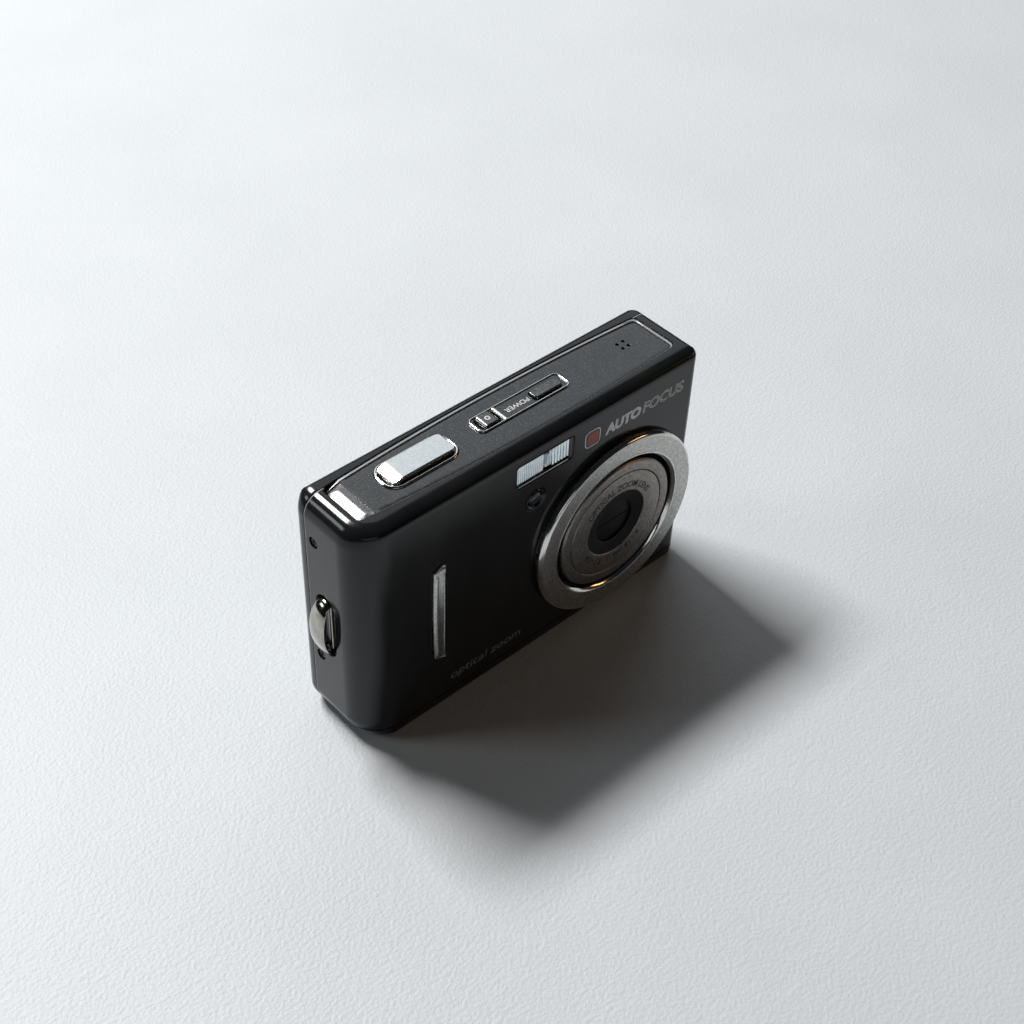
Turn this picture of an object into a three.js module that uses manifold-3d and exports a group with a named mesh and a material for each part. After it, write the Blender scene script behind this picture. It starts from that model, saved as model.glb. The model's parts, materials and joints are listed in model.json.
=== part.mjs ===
// Compact digital camera with a two-stage zoom lens, built as separate pieces.
// Millimetres, +Z up. The origin is the centre of the base. The front faces -Y, with the lens on the +X side.
import * as THREE from 'three';
import { mergeVertices } from 'three/addons/utils/BufferGeometryUtils.js';
import Module from 'manifold-3d';

const wasm = await Module();
wasm.setup();

// ---------------------------------------------------------------- driving dimensions
const WIDTH = 91;
const HEIGHT = 60;
const DEPTH = 20;
const WALL = 1.5;
const SEAM = 0.2; // gap between two fixed pieces
const CLEAR = 0.3; // gap round a moving piece
const REAR_SEAM_Y = 6.5;
const BASE_SEAM_Z = 2.8;

const HALF_WIDTH = WIDTH / 2;
const FRONT = -DEPTH / 2;
const BACK = DEPTH / 2;

// Each edge fillet is [reach across the wall, height]
const TOP_FILLETS = { left: [4, 4.5], right: [2, 2], front: [3.2, 2.2], back: [1.8, 1.8] };
const BASE_FILLETS = { left: [6, 6], right: [2, 2], front: [0.8, 0.8], back: [0.8, 0.8] };
// Each upright corner is [radius along X, radius along Y]
const CORNERS = { frontRight: [2, 2], backRight: [2.5, 2.5], backLeft: [2.5, 2.5], frontLeft: [8, 7] };
const CORNER_STEPS = 4;
const FILLET_STEPS = 4;

// Top plate
const PLATE_TOP = HEIGHT - 0.4;
const PLATE_THICKNESS = 1.2;
const PLATE_LEFT = -40.9;
const PLATE_RIGHT = 41.7;
const PLATE_BEND_X = -37;
const PLATE_DROP = 1.1;

// Lens
const LENS_X = 22.7;
const LENS_Z = 24.5;
const RING_RADIUS = 22.8;
const RING_FRONT = -11.9;
const RING_BORE = 17.3;
const BARREL_FRONT = -11.55;
const BARREL_BACK = 1;
const OUTER_BARREL_RADIUS = 16.1;
const INNER_BARREL_RADIUS = 13.35;
const BARREL_WALL = 1.25;
const LENS_MOUTH_RADIUS = 8.3;
const APERTURE_RADIUS = 5.3;
const BLADE_RADIUS = 5.75;
const BLADE_PIVOT = [-10.2, 0.7];
const BLADE_ARM_RADIUS = 0.6;
const BLADE_PARTING = 0.06; // half the line between the two blades
const BLADE_FACE = BARREL_FRONT + 1;
const BLADE_THICKNESS = 0.6;
const HOLDER_BORE = 7.4;
const HOLDER_SPAN = [-9.2, -5.6];
const FRONT_LENS_RADIUS = 7.1;
const HOUSING_RADIUS = 19.8;
const LATHE_STEPS = 40;

// Battery and card
const BATTERY = { x: [-38.6, -7.1], y: [-7.1, -1.3], z: [3.6, 43.6] };
const CARD = { x: [-36, -12], y: [0.3, 2.4], z: [4, 36] };
const CASE_WALL = 0.6;

// Back of the camera
const SCREEN = { x: [-19.5, 41.3], z: [7.1, 52.8] };
const KEYS_X = -32;
const PAD_Z = 26;

// ---------------------------------------------------------------- materials
function material(color, roughness, metalness) {
  return new THREE.MeshStandardMaterial({ color, roughness, metalness });
}

const glossBlack = material(0x14171a, 0.22, 0);
const gunmetal = material(0x3b3e41, 0.42, 0.6);
const satinSilver = material(0xb4b4b2, 0.38, 0.9);
const warmSilver = material(0x8f8a82, 0.45, 0.8);
const chrome = material(0xd8d8d6, 0.12, 1);
const mattBlack = material(0x1a1a1c, 0.7, 0);
const glass = material(0xbfc6c8, 0.08, 0);
const darkGlass = material(0x0b0d10, 0.06, 0);
const steel = material(0x8c8f92, 0.35, 0.9);
const boardGreen = material(0x1d4a33, 0.55, 0.1);
const batteryGrey = material(0x3a3f45, 0.5, 0);
const cardBlue = material(0x22304a, 0.5, 0);

// ---------------------------------------------------------------- solids
// Turns a closed three.js geometry into a solid, whichever way round its faces were wound.
function solidOf(geometry) {
  const bare = geometry.clone();
  bare.deleteAttribute('normal');
  bare.deleteAttribute('uv');
  const merged = mergeVertices(bare, 1e-5);
  const points = merged.attributes.position.array;
  const corners = [];
  let volume = 0;
  for (let i = 0; i < merged.index.count; i += 3) {
    const [a, b, c] = [0, 1, 2].map((k) => merged.index.getX(i + k));
    if (a === b || b === c || a === c) continue;
    corners.push(a, b, c);
    const [p, q, r] = [a, b, c].map((n) => new THREE.Vector3().fromArray(points, 3 * n));
    volume += p.dot(q.cross(r));
  }
  if (volume < 0) corners.reverse();
  return new wasm.Manifold(new wasm.Mesh({
    numProp: 3,
    vertProperties: new Float32Array(points),
    triVerts: new Uint32Array(corners),
  }));
}

function joined(solids) {
  return solids.reduce((whole, next) => whole.add(next));
}

function cutBy(solid, cutters) {
  return cutters.reduce((rest, cutter) => rest.subtract(cutter), solid);
}

function box([x0, x1], [y0, y1], [z0, z1]) {
  const geometry = new THREE.BoxGeometry(x1 - x0, y1 - y0, z1 - z0);
  geometry.translate((x0 + x1) / 2, (y0 + y1) / 2, (z0 + z1) / 2);
  return solidOf(geometry);
}

// Turns a geometry made along +Z so that it runs along the named axis.
// The outline's own axes then lie along X,Z for 'y', along Y,Z for 'x' and along X,Y for 'z'.
function aimed(geometry, axis) {
  if (axis === 'y') geometry.rotateX(Math.PI / 2);
  if (axis === 'x') geometry.rotateX(Math.PI / 2).rotateZ(Math.PI / 2);
  return geometry;
}

function slab(axis, outline, [from, to], curveSegments = 4) {
  const depth = to - from;
  const geometry = new THREE.ExtrudeGeometry(outline, { depth, bevelEnabled: false, curveSegments });
  geometry.translate(0, 0, axis === 'y' ? -to : from);
  return solidOf(aimed(geometry, axis));
}

function rod(axis, [u, v], radius, [from, to], segments = 20) {
  const geometry = new THREE.CylinderGeometry(radius, radius, to - from, segments);
  const middle = (from + to) / 2;
  if (axis === 'x') geometry.rotateZ(Math.PI / 2).translate(middle, u, v);
  if (axis === 'y') geometry.translate(u, middle, v);
  if (axis === 'z') geometry.rotateX(Math.PI / 2).translate(u, v, middle);
  return solidOf(geometry);
}

// A closed profile of [radius, y] points turned about the lens axis.
function turned(profile, segments = LATHE_STEPS) {
  const points = [...profile, profile[0]].map(([radius, y]) => new THREE.Vector2(radius, y));
  const geometry = new THREE.LatheGeometry(points, segments);
  geometry.translate(LENS_X, 0, LENS_Z);
  return solidOf(geometry);
}

function roundedRect([u0, u1], [v0, v1], radius) {
  const outline = new THREE.Shape();
  outline.absarc(u1 - radius, v0 + radius, radius, -Math.PI / 2, 0);
  outline.absarc(u1 - radius, v1 - radius, radius, 0, Math.PI / 2);
  outline.absarc(u0 + radius, v1 - radius, radius, Math.PI / 2, Math.PI);
  outline.absarc(u0 + radius, v0 + radius, radius, Math.PI, 1.5 * Math.PI);
  outline.closePath();
  return outline;
}

function grown([low, high], by) {
  return [low - by, high + by];
}

const camera = new THREE.Group();

function add(name, solid, finish, group = camera) {
  const { vertProperties, triVerts, numProp } = solid.getMesh();
  const geometry = new THREE.BufferGeometry();
  const positions = new Float32Array((vertProperties.length / numProp) * 3);
  for (let i = 0; i < positions.length / 3; i += 1) {
    positions.set(vertProperties.subarray(i * numProp, i * numProp + 3), 3 * i);
  }
  geometry.setAttribute('position', new THREE.BufferAttribute(positions, 3));
  geometry.setIndex(new THREE.BufferAttribute(triVerts, 1));
  geometry.computeVertexNormals();
  const mesh = new THREE.Mesh(geometry, finish);
  mesh.name = name;
  group.add(mesh);
  return mesh;
}

// ---------------------------------------------------------------- body
// How far an elliptical fillet pulls the wall in at a distance from the edge.
function filletInset([across, high], distance, shrink) {
  const reach = Math.max(high - shrink, 0.05);
  const pull = Math.max(across - shrink, 0.05);
  const t = THREE.MathUtils.clamp((reach - distance) / reach, 0, 1);
  return pull * (1 - Math.sqrt(1 - t * t));
}

// The body's rounded outline at one height, pulled in all round by shrink.
function bodyRing(z, shrink) {
  const inset = {};
  for (const side of Object.keys(TOP_FILLETS)) {
    inset[side] = filletInset(TOP_FILLETS[side], HEIGHT - shrink - z, shrink)
      + filletInset(BASE_FILLETS[side], z - shrink, shrink);
  }
  const right = HALF_WIDTH - shrink - inset.right;
  const left = -HALF_WIDTH + shrink + inset.left;
  const front = FRONT + shrink + inset.front;
  const back = BACK - shrink - inset.back;
  const radii = ([rx, ry], sideX, sideY) => [
    Math.max(rx - shrink - inset[sideX], 0.3),
    Math.max(ry - shrink - inset[sideY], 0.3),
  ];
  const corners = [
    { at: [right, front], signs: [-1, 1], radii: radii(CORNERS.frontRight, 'right', 'front'), start: -0.5 },
    { at: [right, back], signs: [-1, -1], radii: radii(CORNERS.backRight, 'right', 'back'), start: 0 },
    { at: [left, back], signs: [1, -1], radii: radii(CORNERS.backLeft, 'left', 'back'), start: 0.5 },
    { at: [left, front], signs: [1, 1], radii: radii(CORNERS.frontLeft, 'left', 'front'), start: 1 },
  ];
  const ring = [];
  for (const corner of corners) {
    for (let step = 0; step <= CORNER_STEPS; step += 1) {
      const angle = Math.PI * (corner.start + (0.5 * step) / CORNER_STEPS);
      const x = corner.at[0] + corner.radii[0] * (corner.signs[0] + Math.cos(angle));
      const y = corner.at[1] + corner.radii[1] * (corner.signs[1] + Math.sin(angle));
      ring.push(new THREE.Vector3(x, y, z));
    }
  }
  return ring;
}

// Heights that crowd towards an edge over one fillet's reach.
function filletHeights(reach) {
  return Array.from({ length: FILLET_STEPS + 1 }, (_, i) => (
    reach * (1 - Math.cos((i * Math.PI) / 2 / FILLET_STEPS))
  ));
}

function bodySolid(shrink) {
  const low = filletHeights(BASE_FILLETS.left[1] - shrink).map((rise) => shrink + rise);
  const high = filletHeights(TOP_FILLETS.left[1] - shrink).map((drop) => HEIGHT - shrink - drop);
  const rings = [...low, ...high.reverse()].map((z) => bodyRing(z, shrink));
  const count = rings[0].length;
  const positions = rings.flat().flatMap((point) => point.toArray());
  const faces = [];
  for (let level = 0; level < rings.length - 1; level += 1) {
    for (let i = 0; i < count; i += 1) {
      const a = level * count + i;
      const b = level * count + ((i + 1) % count);
      faces.push(a, b, b + count, a, b + count, a + count);
    }
  }
  const top = (rings.length - 1) * count;
  for (let i = 1; i < count - 1; i += 1) {
    faces.push(0, i + 1, i);
    faces.push(top, top + i, top + i + 1);
  }
  const geometry = new THREE.BufferGeometry();
  geometry.setAttribute('position', new THREE.Float32BufferAttribute(positions, 3));
  geometry.setIndex(faces);
  return solidOf(geometry);
}

// The top plate's outline: straight ends and gently bowed front and back edges.
function plateOutline(inset) {
  const left = PLATE_LEFT + inset;
  const right = PLATE_RIGHT - inset;
  const outline = new THREE.Shape();
  outline.moveTo(left + 1.2, -4.7 + inset);
  outline.quadraticCurveTo(0.3, -8.2 + inset, right - 1.2, -5.6 + inset);
  outline.quadraticCurveTo(right, -5.4 + inset, right, -4.2 + inset);
  outline.lineTo(right, 4.9 - inset);
  outline.quadraticCurveTo(right, 6 - inset, right - 1.2, 6.1 - inset);
  outline.quadraticCurveTo(0.3, 8.9 - inset, left + 1.2, 6.1 - inset);
  outline.quadraticCurveTo(left, 5.9 - inset, left, 4.9 - inset);
  outline.lineTo(left, -3.6 + inset);
  outline.quadraticCurveTo(left, -4.6 + inset, left + 1.2, -4.7 + inset);
  return outline;
}

// The plate's section along X: flat, then bent down in a straight slope at its left end.
function plateSection() {
  const section = new THREE.Shape();
  const under = PLATE_TOP - PLATE_THICKNESS;
  section.moveTo(PLATE_RIGHT, PLATE_TOP);
  section.lineTo(PLATE_BEND_X, PLATE_TOP);
  section.lineTo(PLATE_LEFT, PLATE_TOP - PLATE_DROP);
  section.lineTo(PLATE_LEFT, under - PLATE_DROP);
  section.lineTo(PLATE_BEND_X, under);
  section.lineTo(PLATE_RIGHT, under);
  section.closePath();
  return section;
}

// Screws: each has a recess in the shell, a boss behind it and its own solid.
const SIDE_SCREWS = {
  side_screw_left_upper: [-1, 4, 50.5],
  side_screw_left_lower: [-1, 4, 18.5],
  side_screw_right_upper: [1, 4, 54.2],
  side_screw_right_lower: [1, 4, 12],
};
const BASE_SCREWS = {
  base_screw_middle: [-3.4, -7.2],
  base_screw_front: [41, -6],
  base_screw_back: [41, 3.4],
};
const HEAD_RADIUS = 1.15;
const SHANK_RADIUS = 0.6;
const HEAD_DEPTH = 0.3;
const HEAD_THICKNESS = 0.8;
const SHANK_LENGTH = 3.2;
const BOSS_RADIUS = 2.2;

function sideSpan(side, from, to) {
  return side > 0 ? [HALF_WIDTH - to, HALF_WIDTH - from] : [-HALF_WIDTH + from, -HALF_WIDTH + to];
}

function sideBosses() {
  return Object.values(SIDE_SCREWS).map(([side, y, z]) => (
    rod('x', [y, z], BOSS_RADIUS, sideSpan(side, 1, 3), 16)
  ));
}

function sideScrewHoles() {
  const seat = HEAD_DEPTH + HEAD_THICKNESS + SEAM;
  return Object.values(SIDE_SCREWS).flatMap(([side, y, z]) => [
    rod('x', [y, z], HEAD_RADIUS + SEAM, sideSpan(side, -1, seat), 16),
    rod('x', [y, z], SHANK_RADIUS + SEAM, sideSpan(side, 0, 4), 12),
  ]);
}

const LUG = { y: [-0.8, 3.8], z: [21.9, 36.5], mouthY: [-1.5, 4.5], mouthZ: [20.2, 37.8] };
const FLASH = { x: [-6.3, 9.5], z: [50.1, 56.2] };
const FOCUS_LAMP = [-0.5, 44.5];
const FOCUS_LAMP_RADIUS = 2.6;
const USB_COVER = { y: [-3.5, 3.5], z: [38, 50] };
const DOOR = { x: [-38.6, -7.1], y: [-6.9, 3.3] };
const TRIPOD = [7, 0];
const TRIPOD_RADIUS = 4.4;
const THREAD_RADIUS = 3.18;

const outerBody = bodySolid(0);
const shell = outerBody.subtract(bodySolid(WALL));
const plateOpening = slab('z', plateOutline(-SEAM), [HEIGHT - 4, HEIGHT + 1], 10);
const FAR = 60;

function barOutline(extra) {
  const outline = new THREE.Shape();
  outline.moveTo(-24.7 + extra, 15.2 - extra);
  outline.lineTo(-24.7 + extra, 42.2 + extra);
  outline.lineTo(-25.6, 42.5 + extra);
  outline.lineTo(-27.6 - extra, 41.2 + extra);
  outline.quadraticCurveTo(-28 - extra, 28.6, -27.4 - extra, 16 - extra);
  outline.closePath();
  return outline;
}

function frontCover() {
  const region = box([-FAR, FAR], [-FAR, REAR_SEAM_Y - SEAM / 2], [BASE_SEAM_Z + SEAM / 2, FAR + HEIGHT]);
  const walls = joined([shell, ...sideBosses()]).intersect(region);
  const lugMouth = slab('x', roundedRect(LUG.mouthY, LUG.mouthZ, 2.9), [-HALF_WIDTH - 1, -HALF_WIDTH + 3], 5);
  const flashMouth = slab('y', roundedRect(FLASH.x, FLASH.z, 0.9), [FRONT - 1, FRONT + 3], 3);
  const coverMouth = slab('x', roundedRect(grown(USB_COVER.y, CLEAR), grown(USB_COVER.z, CLEAR), 0.8),
    [HALF_WIDTH - 3, HALF_WIDTH + 1], 3);
  return cutBy(walls, [
    plateOpening,
    rod('y', [LENS_X, LENS_Z], 19.5, [FRONT - 1, FRONT + 4], LATHE_STEPS),
    flashMouth,
    rod('y', FOCUS_LAMP, FOCUS_LAMP_RADIUS + SEAM, [FRONT - 1, FRONT + 3], 20),
    slab('y', barOutline(SEAM), [FRONT - 1, FRONT + 0.4], 5),
    lugMouth,
    coverMouth,
    ...sideScrewHoles(),
  ]);
}

function basePlate() {
  const region = box([-FAR, FAR], [-FAR, REAR_SEAM_Y - SEAM / 2], [-FAR, BASE_SEAM_Z - SEAM / 2]);
  const bosses = Object.values(BASE_SCREWS).map((at) => rod('z', at, BOSS_RADIUS, [1, 2.6], 16));
  const seat = HEAD_DEPTH + HEAD_THICKNESS + SEAM;
  const holes = Object.values(BASE_SCREWS).flatMap((at) => [
    rod('z', at, HEAD_RADIUS + SEAM, [-1, seat], 16),
    rod('z', at, SHANK_RADIUS + SEAM, [0, 4], 12),
  ]);
  return cutBy(joined([shell.intersect(region), ...bosses]), [
    box(grown(DOOR.x, CLEAR), grown(DOOR.y, CLEAR), [-1, 4]),
    rod('z', TRIPOD, TRIPOD_RADIUS + SEAM, [-1, 4], 24),
    ...holes,
  ]);
}

// ---------------------------------------------------------------- keys on the back
// Each key is a cap that comes through the rear wall, with a flange inside that holds it in.
const ARROW_REACH = 7.4;
const REAR_KEYS = {
  up_key: { at: [KEYS_X, PAD_Z + ARROW_REACH], size: [6, 3.6] },
  down_key: { at: [KEYS_X, PAD_Z - ARROW_REACH], size: [6, 3.6] },
  left_key: { at: [KEYS_X - ARROW_REACH, PAD_Z], size: [3.6, 6] },
  right_key: { at: [KEYS_X + ARROW_REACH, PAD_Z], size: [3.6, 6] },
  ok_button: { at: [KEYS_X, PAD_Z], size: [6.4, 6.4] },
  menu_button: { at: [KEYS_X - 5.6, 41.5], size: [6, 3.6] },
  playback_button: { at: [KEYS_X + 5.6, 41.5], size: [6, 3.6] },
};
const ROCKER = { at: [KEYS_X, 50.4], size: [14, 5] };
const KEY_TOP = BACK + 0.3;
const FLANGE_TOP = BACK - WALL - 0.5;
const FLANGE_REACH = 0.6;

function keyOutline({ at, size }, extra) {
  const span = (k) => [at[k] - size[k] / 2 - extra, at[k] + size[k] / 2 + extra];
  return roundedRect(span(0), span(1), Math.min(...size) / 2 - 0.2 + extra);
}

function keySolid(key, flange) {
  return slab('y', keyOutline(key, 0), [FLANGE_TOP - 0.1, KEY_TOP], 3)
    .add(slab('y', keyOutline(key, flange), [FLANGE_TOP - 0.5, FLANGE_TOP], 1));
}

function rearCover() {
  const region = box([-FAR, FAR], [REAR_SEAM_Y + SEAM / 2, FAR], [-FAR, FAR + HEIGHT]);
  const keyHoles = [...Object.values(REAR_KEYS), ROCKER].map((key) => (
    slab('y', keyOutline(key, CLEAR), [BACK - 3, BACK + 1], 3)
  ));
  return cutBy(shell.intersect(region), [
    plateOpening,
    slab('y', roundedRect(grown(SCREEN.x, SEAM), grown(SCREEN.z, SEAM), 1), [BACK - 3, BACK + 1], 3),
    ...keyHoles,
  ]);
}

// ---------------------------------------------------------------- controls on the top
const SHUTTER = { x: [-30.4, -14.3], y: [-1.7, 4.1] };
const STRIP = { x: [-7.4, 16.8], y: [-1, 4] };
const MODE_KEY = { x: [-6.3, -1.5], y: [-0.3, 3.3] };
const POWER_KEY = { x: [7.8, 15], y: [-0.1, 2.5] };
const SHUTTER_RISE = 1.2;
const KEY_RISE = 0.5;
const BEZEL_RISE = 0.3;
const BEZEL_BASE = PLATE_TOP + SEAM;
const BEZEL_SPAN = [BEZEL_BASE, BEZEL_BASE + BEZEL_RISE + 0.2];
const STRIP_RIM = 0.6;
const SHUTTER_ROUND = 2.2;
const MODE_ROUND = 1;
const POWER_ROUND = 0.6;
const SPEAKER_AT = [34, 1.6];
const SPEAKER_PITCH = 1.7;

const THROUGH_PLATE = [HEIGHT - 5, HEIGHT + 2];

function topOutline({ x, y }, extra, radius) {
  return roundedRect(grown(x, extra), grown(y, extra), radius + extra);
}

// A key in the top plate: a cap, a flange under the plate that holds it in, and a stem.
function topKey(span, radius, top) {
  const stemX = (span.x[0] + span.x[1]) / 2;
  const stemY = (span.y[0] + span.y[1]) / 2;
  const underside = PLATE_TOP - PLATE_THICKNESS;
  return joined([
    slab('z', topOutline(span, 0, radius), [underside - 0.4, top], 4),
    slab('z', topOutline(span, 0.7, radius), [underside - 0.8, underside - 0.3], 1),
    rod('z', [stemX, stemY], 1, [underside - 1.1, underside - 0.7], 8),
  ]);
}

function topPlate() {
  const blank = slab('z', plateOutline(0), THROUGH_PLATE, 10)
    .intersect(slab('y', plateSection(), [-FAR, FAR], 4));
  const holes = [[-1, -1], [-1, 1], [1, -1], [1, 1]].map(([i, j]) => (
    rod('z', [SPEAKER_AT[0] + (i * SPEAKER_PITCH) / 2, SPEAKER_AT[1] + (j * SPEAKER_PITCH) / 2], 0.4,
      THROUGH_PLATE, 8)
  ));
  return cutBy(blank, [
    slab('z', topOutline(SHUTTER, 1, SHUTTER_ROUND), THROUGH_PLATE, 3),
    slab('z', topOutline(MODE_KEY, CLEAR, MODE_ROUND), THROUGH_PLATE, 3),
    slab('z', topOutline(POWER_KEY, CLEAR, POWER_ROUND), THROUGH_PLATE, 3),
    ...holes,
  ]);
}

function shutterBezel() {
  const rim = slab('z', topOutline(SHUTTER, 1.3, SHUTTER_ROUND), BEZEL_SPAN, 4);
  const skirt = slab('z', topOutline(SHUTTER, 1 - SEAM, SHUTTER_ROUND), [PLATE_TOP - 1, BEZEL_BASE + 0.1], 3);
  return rim.add(skirt).subtract(slab('z', topOutline(SHUTTER, CLEAR, SHUTTER_ROUND), THROUGH_PLATE, 4));
}

function controlBezel() {
  const bezel = slab('z', roundedRect(STRIP.x, STRIP.y, 1.3), BEZEL_SPAN, 3);
  const wells = [[STRIP.x[0] + STRIP_RIM, -0.9], [-0.3, STRIP.x[1] - STRIP_RIM]].map((x) => (
    slab('z', roundedRect(x, grown(STRIP.y, -STRIP_RIM), 0.8), [BEZEL_BASE + 0.2, HEIGHT + 2], 2)
  ));
  return cutBy(bezel, [
    ...wells,
    slab('z', topOutline(MODE_KEY, CLEAR, MODE_ROUND), THROUGH_PLATE, 4),
    slab('z', topOutline(POWER_KEY, CLEAR, POWER_ROUND), THROUGH_PLATE, 4),
  ]);
}

// ---------------------------------------------------------------- lens
function lensRing() {
  const under = FRONT - SEAM;
  return turned([
    [RING_BORE, -6.5], [19.3, -6.5], [19.3, under], [RING_RADIUS, under], [RING_RADIUS, RING_FRONT + 0.7],
    [RING_RADIUS - 0.7, RING_FRONT], [RING_BORE + 0.6, RING_FRONT], [RING_BORE, RING_FRONT + 0.6],
  ]);
}

function outerBarrel() {
  const bore = INNER_BARREL_RADIUS + CLEAR;
  return turned([
    [bore, BARREL_BACK], [OUTER_BARREL_RADIUS, BARREL_BACK],
    [OUTER_BARREL_RADIUS, BARREL_FRONT + 0.3],
    [OUTER_BARREL_RADIUS - 0.3, BARREL_FRONT], [bore, BARREL_FRONT],
  ]);
}

function innerBarrel() {
  const bore = INNER_BARREL_RADIUS - BARREL_WALL;
  return turned([
    [bore, 0], [INNER_BARREL_RADIUS, 0],
    [INNER_BARREL_RADIUS, BARREL_FRONT], [LENS_MOUTH_RADIUS, BARREL_FRONT],
    [LENS_MOUTH_RADIUS, BLADE_FACE], [bore, BLADE_FACE],
  ]);
}

// The black cone inside the lens mouth, with the aperture that the blades close.
function barrierCone() {
  const rim = LENS_MOUTH_RADIUS - SEAM;
  return turned([
    [rim, BARREL_FRONT + 0.1], [rim, BLADE_FACE],
    [APERTURE_RADIUS, BLADE_FACE], [APERTURE_RADIUS, BLADE_FACE - 0.2],
  ]);
}

// One half of the lens cover, hinged at the end of a short arm.
// side is 1 above the parting line and -1 below it.
function coverBlade(side) {
  const outline = new THREE.Shape();
  const [pivotX, pivotZ] = BLADE_PIVOT;
  const [near, far] = [BLADE_FACE + CLEAR, BLADE_FACE + CLEAR + BLADE_THICKNESS];
  outline.moveTo(BLADE_RADIUS, BLADE_PARTING);
  outline.absarc(0, 0, BLADE_RADIUS, 0.02, 0.86 * Math.PI);
  outline.lineTo(pivotX, pivotZ + BLADE_ARM_RADIUS);
  outline.absarc(pivotX, pivotZ, BLADE_ARM_RADIUS, Math.PI / 2, 1.5 * Math.PI);
  outline.lineTo(pivotX, BLADE_PARTING);
  outline.closePath();
  const geometry = new THREE.ExtrudeGeometry(outline, {
    depth: far - near, bevelEnabled: false, curveSegments: 10,
  });
  geometry.translate(0, 0, -far);
  aimed(geometry, 'y');
  geometry.scale(1, 1, side);
  geometry.translate(LENS_X, 0, LENS_Z);
  return solidOf(geometry);
}

function lensHolder() {
  const edge = INNER_BARREL_RADIUS - BARREL_WALL - SEAM;
  const [front, back] = HOLDER_SPAN;
  return turned([[HOLDER_BORE, front], [edge, front], [edge, back], [HOLDER_BORE, back]]);
}

function frontLens() {
  const front = HOLDER_SPAN[0];
  const rim = FRONT_LENS_RADIUS;
  return turned([[0, front], [rim / 2, front + 0.25], [rim, front + 1], [rim, -6.6], [0, -6.6]], 32);
}

function lensHousing() {
  const window = box([LENS_X - 4.2, LENS_X + 4.2], [0, 4], [LENS_Z - 3.4, LENS_Z + 3.4]);
  return rod('y', [LENS_X, LENS_Z], HOUSING_RADIUS, [-6.2, 2.6], 40)
    .subtract(rod('y', [LENS_X, LENS_Z], 16.5, [-7, 1.5], 40))
    .subtract(window);
}

// ---------------------------------------------------------------- insides
function batteryCase() {
  const outer = box(grown(BATTERY.x, SEAM + CASE_WALL), grown(BATTERY.y, SEAM + CASE_WALL), [3.3, 45]);
  const inner = box(grown(BATTERY.x, SEAM), grown(BATTERY.y, SEAM), [0, 45 - CASE_WALL]);
  const contactSlot = box([-28, -18], [-5.6, -2.8], [40, 50]);
  return cutBy(outer, [inner, contactSlot]);
}

function batteryContacts() {
  const pins = [-26, -23, -20].map((x) => box([x - 0.5, x + 0.5], [-4.7, -3.7], [43.8, 45.4]));
  return joined([box([-27.5, -18.5], [-5.4, -3], [45.2, 47]), ...pins]);
}

function cardSocket() {
  const outer = box([-37, -11], [-0.1, 3.2], [20, 39]);
  return outer.subtract(box(grown(CARD.x, SEAM), grown(CARD.y, SEAM), [0, 37]));
}

function chassis() {
  const plate = box([-5.5, 42.5], [4.1, 4.6], [7.2, 53]);
  return cutBy(plate, [
    box([LENS_X - 5.5, LENS_X + 5.5], [3, 6], [LENS_Z - 4.8, LENS_Z + 4.8]),
    box([35, 44], [3, 6], [38, 54]),
    box([39.5, 44], [3, 6], [8, 16]),
  ]);
}

function flashReflector() {
  const trough = new THREE.Shape();
  trough.moveTo(-9, 51.2);
  trough.lineTo(-9, 55.1);
  trough.quadraticCurveTo(-4.4, 54.6, -4.4, 53.15);
  trough.quadraticCurveTo(-4.4, 51.7, -9, 51.2);
  return cutBy(box([-5.6, 8.8], [-8.3, -3.6], [50.6, 55.7]), [
    slab('x', trough, [-4.8, 8], 5),
    rod('x', [-5.6, 53.15], 1.2, [-9, 12], 12),
  ]);
}

function strapLug() {
  const bail = new THREE.Shape();
  const middle = (LUG.z[0] + LUG.z[1]) / 2;
  const reach = (LUG.z[1] - LUG.z[0]) / 2;
  const rootX = -HALF_WIDTH + 1.7;
  bail.moveTo(rootX, middle + reach);
  bail.lineTo(-HALF_WIDTH + 0.5, middle + reach);
  bail.absellipse(-HALF_WIDTH + 0.5, middle, 3.5, reach, Math.PI / 2, 1.5 * Math.PI, false);
  bail.lineTo(rootX, middle - reach);
  bail.lineTo(rootX, middle - reach + 1.9);
  bail.absellipse(-HALF_WIDTH + 0.5, middle, 2.2, reach - 1.9, 1.5 * Math.PI, Math.PI / 2, true);
  bail.lineTo(rootX, middle + reach - 1.9);
  bail.closePath();
  const foot = box([rootX - 0.1, rootX + 1.1], [-1.2, 4.2], [20.8, 37.2]);
  return slab('y', bail, LUG.y, 8).add(foot);
}

function tripodBush() {
  return rod('z', TRIPOD, TRIPOD_RADIUS, [0.1, 6.6], 24)
    .subtract(rod('z', TRIPOD, THREAD_RADIUS, [-1, 5.6], 24));
}

function usbSocket() {
  return box([37.5, 43.7], [-2, 2.6], [39.6, 48.2]).subtract(box([38.5, 45], [-1.4, 2], [40.2, 47.6]));
}

// A thin board with a round switch under each key.
function keyBoard() {
  const domes = Object.values(REAR_KEYS).map(({ at }) => rod('y', at, 1.5, [6.5, 6.9], 10));
  return joined([box([-42.4, -21.8], [6, 6.6], [12, 54]), ...domes]);
}

function topBoard() {
  const domes = [SHUTTER, MODE_KEY, POWER_KEY].map(({ x, y }) => (
    rod('z', [(x[0] + x[1]) / 2, (y[0] + y[1]) / 2], 1.4, [55.4, 56.4], 10)
  ));
  return joined([box([-30, 18], [-1.8, 5.2], [54.9, 55.5]), ...domes]);
}

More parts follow.
